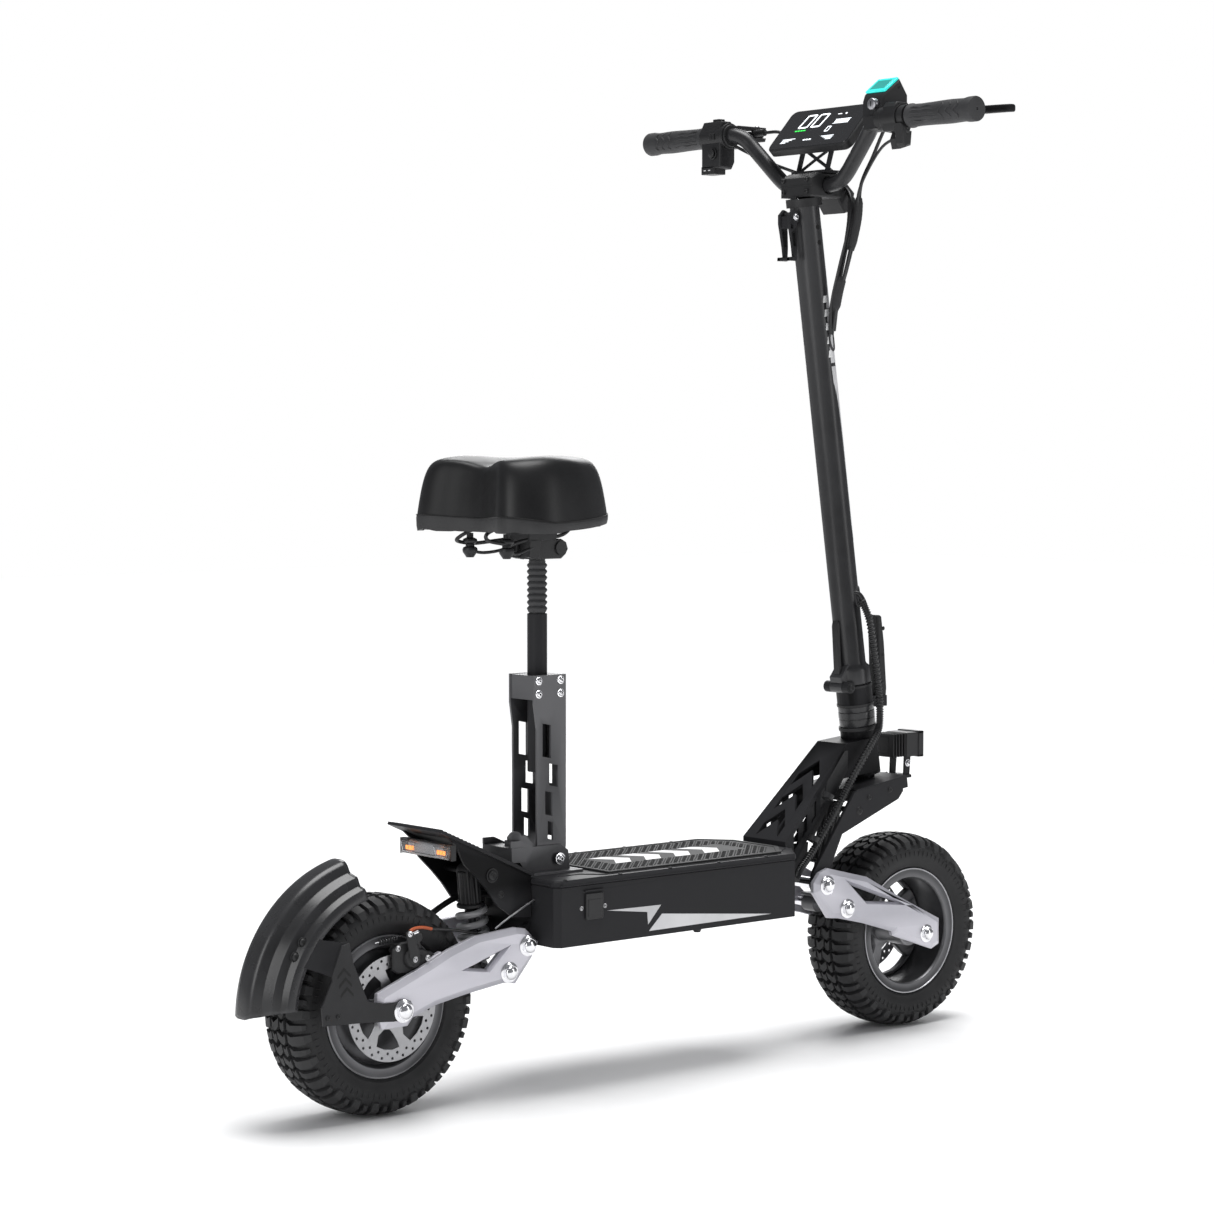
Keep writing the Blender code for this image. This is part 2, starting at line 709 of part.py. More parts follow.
def flange_mesh(name, sign):
    """The slanted flange between the bracket's plate and the fender's side."""
    near = [(-0.0862, 0.2420), (-0.1125, 0.2030)]
    far = [(-0.1330, 0.2500), (-0.1530, 0.2190)]
    tab = [(-0.1480, 0.2590), (-0.1680, 0.2270)]
    outer_y = ARM_OUTER_Y + GAP + BRACKET_THICKNESS * 0.7
    rows = [(near, outer_y), (far, 0.0600), (tab, 0.0600)]
    mesh = bpy.data.meshes.new(name)
    sheet = bmesh.new()
    lines = [[sheet.verts.new((x, sign * y, z)) for x, z in row] for row, y in rows]
    for first, second in zip(lines, lines[1:]):
        sheet.faces.new((first[0], first[1], second[1], second[0]))
    bmesh.ops.recalc_face_normals(sheet, faces=sheet.faces)
    sheet.to_mesh(mesh)
    sheet.free()
    flange = bpy.data.objects.new(name, mesh)
    shell = flange.modifiers.new("thickness", "SOLIDIFY")
    shell.thickness = 0.0024
    shell.offset = 0.0
    return flange


def make_caliper():
    """A block over the disc's top edge, slotted for the disc."""
    caliper = box("rear_caliper", (-0.004, -0.0590, 0.1900), (0.052, -0.0410, 0.2310))
    bevelled(caliper, 0.003)
    slot = box("caliper_slot", (-0.02, -0.0530, 0.18), (0.07, -0.0480, 0.2180))
    cut(caliper, slot)
    add_part(caliper, "rear_arm", "dark_metal")


# ---------------------------------------------------------------- chassis
DECK_PLAN = [
    (DECK_REAR_X + 0.008, DECK_HALF_WIDTH), (DECK_SIDE_FRONT_X, DECK_HALF_WIDTH),
    (DECK_FRONT_X, DECK_NOSE_HALF_WIDTH), (DECK_FRONT_X, -DECK_NOSE_HALF_WIDTH),
    (DECK_SIDE_FRONT_X, -DECK_HALF_WIDTH), (DECK_REAR_X + 0.008, -DECK_HALF_WIDTH),
    (DECK_REAR_X, -DECK_HALF_WIDTH + 0.008), (DECK_REAR_X, DECK_HALF_WIDTH - 0.008),
]


def inset(outline, distance):
    """An outline moved inwards by a distance, for a convex outline in either direction."""
    centre = Vector((sum(p[0] for p in outline), sum(p[1] for p in outline))) / len(outline)
    lines = []
    for a, b in zip(outline, outline[1:] + outline[:1]):
        a, b = Vector(a), Vector(b)
        along = (b - a).normalized()
        inward = Vector((-along.y, along.x))
        if inward.dot(centre - a) < 0:
            inward = -inward
        lines.append((a + inward * distance, along))
    corners = []
    for (p, d), (q, e) in zip([lines[-1]] + lines[:-1], lines):
        cross = d.x * e.y - d.y * e.x
        t = ((q - p).x * e.y - (q - p).y * e.x) / cross
        corners.append(tuple(p + d * t))
    return corners


def make_deck():
    tray = flat_plate("deck_tray", [DECK_PLAN], DECK_BOTTOM_Z, DECK_SEAM_Z - GAP)
    hollow = flat_plate(
        "tray_hollow", [inset(DECK_PLAN, WALL)], DECK_BOTTOM_Z + WALL, DECK_SEAM_Z + 0.02
    )
    lugs = []
    for sign in (1, -1):
        low, high = sorted((sign * 0.0380, sign * 0.0460))
        outline = [
            (DECK_REAR_X + 0.001, 0.2330), (0.2060, 0.2240), (0.1935, 0.2150), (0.1935, 0.2010),
            (0.2040, 0.1925), (DECK_REAR_X + 0.001, 0.2065),
        ]
        lugs.append(side_plate(f"tray_lug_{sign}", [outline], low, high))
    join(tray, *lugs)
    cut(tray, hollow, along_y("pivot_bore", REAR_PIVOT, PIVOT_SHAFT_RADIUS + GAP, 0.06, 20))
    kick_lug = box("kick_lug", (0.455, 0.1040, 0.2068), (0.485, 0.1180, 0.2250))
    join(tray, kick_lug)
    neck_pad = box("neck_pad", (0.7000, -0.0440, 0.2520), (0.7054, 0.0440, 0.2840))
    join(tray, neck_pad)
    flap_rail = box("flap_rail", (0.2785, -0.1085, 0.2770), (0.3120, -0.1045, 0.2786))
    join(tray, flap_rail)
    add_part(tray, "chassis", "black_paint")

    cover = flat_plate("deck_cover", [inset(DECK_PLAN, -0.0015)], DECK_SEAM_Z, DECK_TOP_Z)
    bevelled(cover, 0.0025)
    mat = box("deck_mat", (0.3450, -0.0860, DECK_TOP_Z - 0.0020), (0.6500, 0.0860, DECK_MAT_Z))
    join(cover, mat)
    add_part(cover, "chassis", "black_paint")

    battery = box("battery_pack", (0.300, -0.088, 0.2085), (0.655, 0.088, 0.2700))
    add_part(bevelled(battery, 0.004), "chassis", "battery")
    controller = box("motor_controller", (0.242, -0.060, 0.2085), (0.290, 0.060, 0.2450))
    add_part(bevelled(controller, 0.003), "chassis", "aluminium")


def make_neck():
    """The hollow neck: an open channel with thickness, its windows, and the head tube."""
    rear, knee, front = 0.7058, 0.842, 0.905
    wide, narrow = 0.0450, 0.0300
    side = [
        (rear, 0.2500, wide), (rear, 0.3015, wide), (knee, 0.4340, narrow),
        (front, 0.4400, narrow), (front + 0.009, 0.3900, narrow), (0.8290, 0.3820, narrow),
        (0.7220, 0.2620, wide - 0.002), (0.7150, 0.2500, wide - 0.001),
    ]
    mesh = bpy.data.meshes.new("neck_frame")
    sheet = bmesh.new()
    left = [sheet.verts.new((x, y, z)) for x, z, y in side]
    right = [sheet.verts.new((x, -y, z)) for x, z, y in side]
    sheet.faces.new(left)
    sheet.faces.new(list(reversed(right)))
    for i in range(4):
        sheet.faces.new((left[i], left[i + 1], right[i + 1], right[i]))
    bmesh.ops.recalc_face_normals(sheet, faces=sheet.faces)
    bmesh.ops.triangulate(sheet, faces=[f for f in sheet.faces if len(f.verts) > 4])
    sheet.to_mesh(mesh)
    sheet.free()
    neck = bpy.data.objects.new("neck_frame", mesh)
    shell = neck.modifiers.new("thickness", "SOLIDIFY")
    shell.thickness = 0.004
    shell.offset = -1.0
    shell.use_even_offset = True
    slope = math.atan2(0.4340 - 0.3015, knee - rear)
    along = Vector((math.cos(slope), 0.0, math.sin(slope)))
    start = Vector((rear, 0.0, 0.3015))
    for number, place in enumerate((0.058, 0.108, 0.155)):
        cut(neck, chevron_cutter(f"chevron_{number}", start + along * place, slope, 0.026))
    slots = []
    for number in range(4):
        x = 0.7250 + number * 0.020
        base = 0.2860 + number * 0.0185
        slot = [(x, base), (x, base + 0.024), (x + 0.010, base + 0.034), (x + 0.010, base + 0.010)]
        slots.append(side_plate(f"neck_slot_{number}", [slot], -0.08, 0.08))
    cut(neck, *slots)
    head = rod("head_tube", on_steer(-0.050), on_steer(0.0235), 0.0270, 32)
    join(neck, head)
    cut(neck, rod("head_bore", on_steer(-0.09), on_steer(0.06), 0.0190, 32))
    add_part(neck, "chassis", "black_paint")


def chevron_cutter(name, tip, slope, reach):
    """An arrow-shaped prism whose tip points up the slope."""
    outline = [
        (0.0, 0.0), (-0.030, reach * 0.86), (-0.052, reach * 0.86), (-0.020, 0.0),
        (-0.052, -reach * 0.86), (-0.030, -reach * 0.86),
    ]
    mesh = outline_mesh(name, [outline], 0.012)
    obj = bpy.data.objects.new(name, mesh)
    obj.location = tip
    obj.rotation_euler = (0.0, -slope, 0.0)
    return obj


def make_tail():
    """The rear foot plate on two gussets, with the shock's upper pin between them."""
    rear = Vector((0.074, 0.0, 0.3725))
    front = Vector((0.2320, 0.0, 0.3010))
    slope = math.atan2(front.z - rear.z, front.x - rear.x)
    length = (front - rear).length
    plate = box("tail_frame", (0.0, -0.058, -0.004), (length, 0.058, 0.0))
    plate.location = rear
    plate.rotation_euler = (0.0, -slope, 0.0)
    gusset = [
        (0.0850, 0.3655), (0.1500, 0.3360), (0.2301, 0.2995), (0.2301, 0.2410), (0.1990, 0.2440),
        (0.1720, 0.2630), (0.1560, 0.2840), (0.1400, 0.3010), (0.1180, 0.3220), (0.1050, 0.3480),
    ]
    for sign in (1, -1):
        low, high = sorted((sign * 0.0480, sign * 0.0520))
        join(plate, side_plate(f"gusset_{sign}", [gusset], low, high))
    join(plate, along_y("shock_pin", REAR_SHOCK_TOP, SHOCK_PIN_RADIUS, 0.0560, 18))
    add_part(plate, "chassis", "black_paint")
    light = box("tail_light", (0.0890, -0.0560, 0.3290), (0.1010, 0.0560, 0.3500))
    add_part(bevelled(light, 0.004, 1), "chassis", "lens")


def make_mast_base():
    """Two ears on a foot plate, with the seat mast's hinge pin between them."""
    outline = [
        (0.2410, DECK_TOP_Z + GAP), (0.3150, DECK_TOP_Z + GAP), (0.3120, 0.3230),
        (0.2980, 0.3320), (0.2520, 0.3320), (0.2300, 0.3420), (0.2120, 0.3420), (0.2120, 0.3340),
    ]
    base = box("mast_base", (0.2340, -0.0480, DECK_TOP_Z + GAP), (0.3250, 0.0480, 0.2975))
    for sign in (1, -1):
        low, high = sorted((sign * (MAST_HALF_WIDTH + 0.0006), sign * (MAST_HALF_WIDTH + 0.0036)))
        join(base, side_plate(f"mast_ear_{sign}", [outline], low, high))
    join(base, along_y("mast_pin", MAST_PIVOT, 0.0050, MAST_HALF_WIDTH + 0.0085, 18))
    block = box("mast_block", (0.2130, -0.0320, 0.3130), (0.2380, 0.0320, 0.3330))
    join(base, block)
    add_part(base, "chassis", "dark_metal")


def make_kickstand():
    end = KICKSTAND_PIVOT + Vector((-KICKSTAND_LENGTH, 0.0, 0.0))
    leg = rod("kickstand", KICKSTAND_PIVOT + Vector((0.006, 0.0, 0.0)), end, 0.0062, 16)
    pivot_block = box(
        "kick_block",
        KICKSTAND_PIVOT + Vector((-0.0078, -0.0062, -0.0080)),
        KICKSTAND_PIVOT + Vector((0.0078, 0.0072, 0.0075)),
    )
    foot = box(
        "kick_foot", end + Vector((-0.012, -0.0080, -0.0030)), end + Vector((0.012, 0.0080, 0.0030))
    )
    join(leg, pivot_block, foot)
    add_part(leg, "kickstand", "black_paint")


def make_charge_flap():
    flap = box("charge_flap", (0.2800, -0.1085, 0.2385), (0.3105, -0.1055, 0.2740))
    add_part(bevelled(flap, 0.001), "charge_flap", "rubber")


# ---------------------------------------------------------------- fork, stem and folding joint
FORK_PLATE = [
    (0.833, 0.366), (0.891, 0.374), (0.931, 0.379), (0.933, 0.360), (0.923, 0.349),
    (0.807, 0.306), (0.785, 0.262), (0.783, 0.232), (0.772, 0.219), (0.752, 0.221),
    (0.745, 0.236), (0.750, 0.256),
]


def make_fork():
    crown = box("fork_frame", (-0.072, -0.0585, -0.0745), (0.034, 0.0585, -0.0560))
    crown.location = STEER_POINT
    crown.rotation_euler = (0.0, -STEER_LEAN, 0.0)
    for sign in (1, -1):
        low, high = sorted((sign * 0.0530, sign * 0.0588))
        plate = side_plate(f"fork_plate_{sign}", [FORK_PLATE], low, high)
        join(crown, plate)
    join(crown, along_y("front_shock_pin", FRONT_SHOCK_TOP, SHOCK_PIN_RADIUS, 0.0560, 18))
    cut(
        crown,
        along_y("front_pivot_bore", FRONT_PIVOT, PIVOT_SHAFT_RADIUS + GAP, 0.08, 20),
        rod("crown_bore", on_steer(-0.10), on_steer(-0.02), 0.0176, 28),
    )
    add_part(crown, "fork", "black_paint")


def make_steerer():
    """The steering tube in the head tube, the folding base on it and its two hinge ears."""
    profile = [
        (0.0, 0.0865), (0.0270, 0.0865), (0.0270, 0.0540), (0.0240, 0.0450), (0.0240, 0.0243),
        (0.0172, 0.0243), (0.0172, -0.0740), (0.0, -0.0740),
    ]
    steerer = turned("steerer", profile, STEER_POINT, STEER_AXIS, 32)
    for sign in (1, -1):
        ear = rod(
            f"fold_ear_{sign}",
            FOLD_POINT + Vector((0.0, sign * 0.0130, 0.0)),
            FOLD_POINT + Vector((0.0, sign * 0.0250, 0.0)),
            FOLD_KNUCKLE_RADIUS,
            20,
        )
        join(steerer, ear)
        lock_ear = box(
            f"lock_ear_{sign}",
            (0.9100, min(sign * 0.0120, sign * 0.0150), 0.4840),
            (0.9420, max(sign * 0.0120, sign * 0.0150), 0.5000),
        )
        join(steerer, lock_ear)
    knuckle_room = along_y("knuckle_room", FOLD_POINT, FOLD_KNUCKLE_RADIUS + 0.0006, 0.0128, 24)
    cut(steerer, knuckle_room)
    add_part(steerer, "fork", "black_paint")


def make_stem():
    top = on_steer((STEM_TOP_Z - STEER_POINT.z) / math.cos(STEER_LEAN))
    stem = rod("stem_tube", on_steer(0.0990), top, STEM_RADIUS, 32)
    foot = rod("stem_foot", on_steer(0.0871), on_steer(0.1120), 0.0270, 32)
    join(stem, foot, along_y("stem_knuckle", FOLD_POINT, FOLD_KNUCKLE_RADIUS, 0.0124, 20))
    hook_lug = box("hook_lug", (0.7480, -0.0060, 1.1960), (0.7800, 0.0060, 1.2100))
    join(stem, hook_lug)
    cut(stem, rod("stem_bore", on_steer(0.1300), top + STEER_AXIS * 0.02, STEM_RADIUS - 0.0030, 24))
    for sign in (1, -1):
        room = rod(
            f"ear_room_{sign}",
            FOLD_POINT + Vector((0.0, sign * 0.0127, 0.0)),
            FOLD_POINT + Vector((0.0, sign * 0.0400, 0.0)),
            FOLD_KNUCKLE_RADIUS + 0.0006,
            24,
        )
        cut(stem, room)
    add_part(stem, "stem", "black_paint")


def make_fold_lever():
    outline = [
        (0.9270, 0.4850), (0.9440, 0.4850), (0.9460, 0.5100), (0.9420, 0.5600), (0.9330, 0.6200),
        (0.9250, 0.6200), (0.9280, 0.5600), (0.9290, 0.5100),
    ]
    lever = side_plate("fold_lever", [outline], -0.0115, 0.0115)
    add_part(bevelled(lever, 0.002), "fold_lever", "dark_metal")


def make_headlight():
    """A finned lamp on a bracket in front of the head tube, carried by the fork's crown."""
    lamp = box("headlight", (0.9480, -0.0240, 0.4020), (1.0280, 0.0240, 0.4420))
    bevelled(lamp, 0.003)
    arm = box("lamp_arm", (0.9760, -0.0060, 0.3760), (0.9900, 0.0060, 0.4060))
    base = box("lamp_base", (0.9446, -0.0200, 0.3730), (0.9980, 0.0200, 0.3790))
    join(lamp, arm, base)
    add_part(lamp, "fork", "plastic")


# ---------------------------------------------------------------- handlebar and controls
def bar_route():
    """The handlebar's middle line: flat in the clamp, rising bends, then straight grips."""
    half = [
        Vector((BAR_CLAMP.x, 0.0, BAR_CLAMP.z)),
        Vector((BAR_CLAMP.x, 0.034, BAR_CLAMP.z)),
        Vector((BAR_CLAMP.x, 0.050, BAR_CLAMP.z + 0.002)),
        Vector((BAR_CLAMP.x, 0.062, BAR_CLAMP.z + 0.008)),
        Vector((BAR_CLAMP.x - 0.001, 0.074, BAR_CLAMP.z + 0.018)),
        Vector((BAR_CLAMP.x - 0.009, 0.122, BAR_END.z - 0.018)),
        Vector((BAR_CLAMP.x - 0.012, 0.131, BAR_END.z - 0.009)),
        Vector((BAR_CLAMP.x - 0.015, 0.141, BAR_END.z - 0.003)),
        Vector((BAR_END.x, 0.153, BAR_END.z)),
        Vector((BAR_END.x, 0.338, BAR_END.z)),
    ]
    return [Vector((p.x, -p.y, p.z)) for p in reversed(half[1:])] + half


def make_handlebar():
    bar = tube("handlebar", bar_route(), BAR_RADIUS, 4)
    add_part(bar, "stem", "black_paint")
    clamp = box("bar_clamp", (0.7640, -0.0320, 1.2325), (0.8260, 0.0320, 1.2680))
    bevelled(clamp, 0.004)
    cut(clamp, along_y("bar_bore", BAR_CLAMP, BAR_RADIUS + GAP, 0.06, 24))
    add_part(clamp, "stem", "black_paint")
    display = box("display", (-0.0425, -0.0840, -0.0070), (0.0425, 0.0840, 0.0070))
    bevelled(display, 0.003)
    display.location = (0.8165, 0.0, 1.3325)
    display.rotation_euler = (0.0, -math.radians(47.5), 0.0)
    mast = box("display_mast", (0.8060, -0.0300, 1.2684), (0.8160, 0.0300, 1.3280))
    join(display, mast)
    add_part(display, "stem", "glass")


def make_grip(name, sign, inner_y):
    length = BAR_END.y - inner_y
    bore = BAR_RADIUS + GAP
    profile = [
        (0.0, length), (0.0165, length), (0.0175, length - 0.005), (0.0175, length - 0.012),
        (0.0160, length - 0.030), (0.0170, 0.0),
        (bore, 0.0), (bore, length - 0.0026), (0.0, length - 0.0026),
    ]
    origin = (BAR_END.x, sign * inner_y, BAR_END.z)
    grip = turned(name, profile, origin, (0, sign, 0), 20)
    add_part(grip, "stem", "rubber", smooth=False)


def make_pod(name, sign, inner, outer, shell_low, shell_high):
    """A control housing clamped round the bar, with the brake lever's perch on its front."""
    low_y, high_y = sorted((sign * inner, sign * outer))
    pod = box(name, (shell_low[0], low_y, shell_low[1]), (shell_high[0], high_y, shell_high[1]))
    bevelled(pod, 0.003)
    perch_low, perch_high = sorted((sign * (inner - 0.004), sign * (inner + 0.018)))
    perch = box(
        name + "_perch",
        (BAR_END.x + 0.004, perch_low, BAR_END.z - 0.004),
        (LEVER_PIVOT_X + 0.006, perch_high, BAR_END.z + 0.0),
    )
    collar_inner, collar_outer = sorted((sign * (inner - 0.003), sign * (outer - 0.004)))
    collar = rod(
        name + "_collar",
        (BAR_END.x, collar_inner, BAR_END.z),
        (BAR_END.x, collar_outer, BAR_END.z),
        0.0165,
        24,
    )
    join(pod, perch, collar)
    bore = rod(
        name + "_bore",
        (BAR_END.x, sign * 0.10, BAR_END.z),
        (BAR_END.x, sign * 0.30, BAR_END.z),
        BAR_RADIUS + GAP,
        24,
    )
    cut(pod, bore)
    return pod


def make_switches():
    pod = make_pod("switch_pod", 1, 0.1620, 0.2085, (0.7650, 1.2850), (0.7960, 1.3600))
    recess = rod(
        "horn_recess",
        (BAR_END.x - 0.030, 0.180, BAR_END.z - 0.026),
        (BAR_END.x - 0.0142, 0.180, BAR_END.z - 0.026),
        0.0066,
        16,
    )
    cut(pod, recess)
    add_part(pod, "stem", "plastic")
    horn = rod(
        "horn_button",
        (BAR_END.x - 0.0173, 0.180, BAR_END.z - 0.026),
        (BAR_END.x - 0.0223, 0.180, BAR_END.z - 0.026),
        0.0060,
        16,
    )
    add_part(horn, "horn_button", "plastic")
    slider = box(
        "turn_switch",
        (BAR_END.x - 0.0213, 0.1740, BAR_END.z - 0.0060),
        (BAR_END.x - 0.0173, 0.1860, BAR_END.z + 0.0040),
    )
    add_part(bevelled(slider, 0.001), "turn_switch", "plastic")


def make_throttle():
    pod = make_pod("throttle_pod", -1, 0.1720, 0.2000, (0.7660, 1.3120), (0.7980, 1.3560))
    add_part(pod, "stem", "plastic")
    outline = circle((BAR_END.x, BAR_END.z), 0.0165, 24)
    hole = circle((BAR_END.x, BAR_END.z), BAR_RADIUS + 0.0006, 24)
    ring = side_plate("thumb_throttle", [outline, hole], -0.2120, -0.2004)
    paddle = box("thumb_paddle", (0.7660, -0.2120, 1.2900), (0.7790, -0.2004, 1.3210))
    join(ring, bevelled(paddle, 0.003))
    add_part(ring, "thumb_throttle", "plastic")


def make_key_module():
    """The ignition module on the bar's right bend: a slanted body with a lit lens on top."""
    outline = [
        (0.7760, 1.3300), (0.8020, 1.3300), (0.8260, 1.3500), (0.8260, 1.3720), (0.8080, 1.3960),
        (0.7800, 1.3740), (0.7760, 1.3600),
    ]
    body = side_plate("key_module", [outline], -0.1660, -0.1240)
    bevelled(body, 0.002)
    cut(body, as_mesh(tube("module_bar_room", bar_route()[:6], BAR_RADIUS + 0.0008, 4)))
    add_part(body, "stem", "plastic")
    barrel = rod(
        "key_barrel", KEY_POINT + Vector((0.001, 0, 0)), KEY_POINT + Vector((-0.0075, 0, 0)), 0.0085
    )
    add_part(barrel, "key_barrel", "steel")


def make_brake_lever(name, sign):
    """A flat lever blade: a pivot end on the perch, then a blade reaching along the grip."""
    pivot = (LEVER_PIVOT_X, sign * LEVER_PIVOT_Y)
    offsets = [
        (-0.009, -0.006), (0.009, -0.009), (0.013, 0.012), (0.008, 0.045), (0.006, 0.100),
        (0.013, 0.150), (0.016, 0.169), (0.009, 0.173), (0.002, 0.150), (-0.005, 0.100),
        (-0.004, 0.045), (-0.008, 0.020),
    ]
    outline = [(LEVER_PIVOT_X + x, sign * (LEVER_PIVOT_Y + y)) for x, y in offsets]
    low = BAR_END.z + 2 * GAP
    lever = flat_plate(name, [outline, circle(pivot, 0.0025, 12)], low, low + 0.0120)
    add_part(bevelled(lever, 0.002), name, "black_paint")


def make_hook():
    """The folding hook hanging behind the stem's top."""
    outline = [
        (0.7565, 1.2115), (0.7480, 1.2140), (0.7400, 1.2050), (0.7420, 1.1900), (0.7480, 1.1560),
        (0.7520, 1.1400), (0.7640, 1.1420), (0.7600, 1.1620), (0.7570, 1.1900),
    ]
    hook = side_plate("stem_hook", [outline], -0.0130, 0.0130)
    room = box("hook_room", (0.7300, -0.0064, 1.1900), (0.7800, 0.0064, 1.2300))
    cut(hook, room)
    add_part(hook, "stem_hook", "black_paint")


# ---------------------------------------------------------------- seat
def make_seat_mast():
    """Two slotted plates joined by the post clamp at their top."""
    rear, front, top = 0.2555, 0.3110, 0.5635
    foot = [
        (MAST_PIVOT.x + 0.0150 * math.cos(a), MAST_PIVOT.z + 0.0150 * math.sin(a))
        for a in (math.radians(d) for d in (-120, -95, -70, -45, -20, 5))
    ]
    outline = [
        (rear + 0.0050, 0.3360), (rear + 0.0050, 0.3120), (0.2760, 0.3000), *foot,
        (front, 0.3300), (front, top), (rear, top), (rear, 0.5250), (rear + 0.0050, 0.4900),
    ]
    slots = [
        (0.2700, 0.4530, 0.0145, 0.0450), (0.2820, 0.4130, 0.0145, 0.0300),
        (0.2746, 0.3740, 0.0125, 0.0320), (0.2790, 0.3410, 0.0090, 0.0240),
    ]
    inner = MAST_HALF_WIDTH - MAST_PLATE
    side = inner + 0.001
    clamp = box("mast_frame", (rear + 0.0010, -side, 0.5300), (front - 0.0010, side, 0.5630))
    for sign in (1, -1):
        low, high = sorted((sign * inner, sign * MAST_HALF_WIDTH))
        outlines = [outline, circle((MAST_PIVOT.x, MAST_PIVOT.z), 0.0053, 16)]
        for x, z, width, height in slots:
            outlines.append(
                [(x, z), (x + width, z - 0.003), (x + width, z + height - 0.003), (x, z + height)]
            )
        join(clamp, side_plate(f"mast_plate_{sign}", outlines, low, high))
    web = box("mast_web", (front - 0.0040, -side, 0.3400), (front - 0.0008, side, 0.5310))
    window_low, window_high = (front - 0.0060, -0.0020, 0.4120), (front + 0.0020, 0.0180, 0.4460)
    window = box("mast_web_window", window_low, window_high)
    cut(web, window)
    join(clamp, web)
    bore = rod("post_bore", (MAST_POST_X, 0, 0.50), (MAST_POST_X, 0, 0.60), POST_RADIUS + GAP, 28)
    cut(clamp, bore)
    add_part(clamp, "seat_mast", "dark_metal")


def make_seat_post():
    bottom, top = 0.430, 0.6460
    rod_room = POST_ROD_RADIUS + 0.0005
    profile = [
        (0.0, 0.0850), (rod_room, 0.0850), (rod_room, top - bottom), (POST_RADIUS, top - bottom),
        (POST_RADIUS, 0.0), (0.0, 0.0),
    ]
    post = turned("seat_post", profile, (MAST_POST_X, 0, bottom), (0, 0, 1), 24)
    add_part(post, "seat_post", "black_paint", smooth=False)


def make_saddle():
    bottom, top = (MAST_POST_X, 0, 0.5600), (MAST_POST_X, 0, 0.7300)
    carrier = rod("saddle_rod", bottom, top, POST_ROD_RADIUS, 24)
    head = box("rod_head", (0.2640, -0.0150, 0.7200), (0.3200, 0.0150, 0.7440))
    join(carrier, bevelled(head, 0.003))
    add_part(carrier, "saddle_rod", "black_paint")

    mesh = bpy.data.meshes.new("saddle")
    cage = bmesh.new()
    bmesh.ops.create_cube(cage, size=2.0)
    bmesh.ops.subdivide_edges(cage, edges=cage.edges, cuts=2, use_grid_fill=True)
    for vertex in cage.verts:
        x, y, z = vertex.co
        reach = max(abs(x), abs(y))
        radius = math.hypot(x, y)
        if radius > 0:
            shrink = (reach / radius) ** 0.55
            x, y = x * shrink, y * shrink
        lobe = 0.34 * max(0.0, z) * math.exp(-((y / 0.28) ** 2)) * (0.45 + 0.55 * abs(x - 0.1))
        vertex.co = (
            SADDLE_CENTRE.x + x * SADDLE_SIZE.x / 2,
            y * SADDLE_SIZE.y / 2 * (1.0 - 0.10 * max(0.0, x)),
            SADDLE_CENTRE.z + (z - lobe) * SADDLE_SIZE.z / 2,
        )
    cage.to_mesh(mesh)
    cage.free()
    saddle = bpy.data.objects.new("saddle", mesh)
    soft = saddle.modifiers.new("soft", "SUBSURF")
    soft.levels = 1
    soft.render_levels = 1
    add_part(saddle, "saddle", "leather")


# ---------------------------------------------------------------- cable loom
def make_loom():
    """The corrugated loom from the stem's lower port, beside the neck, to the deck's nose."""
    route = [
        (0.8730, -0.0300, 0.6450), (0.8830, -0.0360, 0.6150), (0.8915, -0.0365, 0.5620),
        (0.9000, -0.0365, 0.5090), (0.9020, -0.0375, 0.4720), (0.8945, -0.0400, 0.4480),
        (0.8670, -0.0440, 0.4180), (0.8300, -0.0485, 0.3770), (0.8060, -0.0510, 0.3480),
        (0.7790, -0.0530, 0.3160), (0.7500, -0.0545, 0.2840), (0.7240, -0.0570, 0.2620),
        (0.7100, -0.0620, 0.2480),
    ]
    add_part(tube("main_loom", route, 0.0052, 1, smooth_count=30), "chassis", "plastic")


def build_scooter():
    make_body_empties()
    make_rear_wheel()
    make_front_wheel()
    make_rear_suspension()
    make_front_suspension()
    make_fender()
    make_fender_bracket("left", 1)
    make_fender_bracket("right", -1)
    make_caliper()
    make_deck()
    make_neck()
    make_tail()
    make_mast_base()
    make_kickstand()
    make_charge_flap()
    make_fork()
    make_steerer()
    make_stem()
    make_fold_lever()
    make_headlight()
    make_handlebar()
    make_grip("left_grip", 1, 0.2110)
    make_grip("right_grip", -1, 0.2160)
    make_switches()
    make_throttle()
    make_key_module()
    make_brake_lever("left_brake_lever", 1)
    make_brake_lever("right_brake_lever", -1)
    make_hook()
    make_seat_mast()
    make_seat_post()
    make_saddle()
    make_loom()


build_scooter()
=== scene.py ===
"""Looks of the electric kick scooter with a seat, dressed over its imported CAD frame.

Shapes are drawn from the rear axle: X forward, Y to the rider's left, Z up from the floor.
"""

import math

import bmesh
import bpy
from mathutils import Matrix, Vector


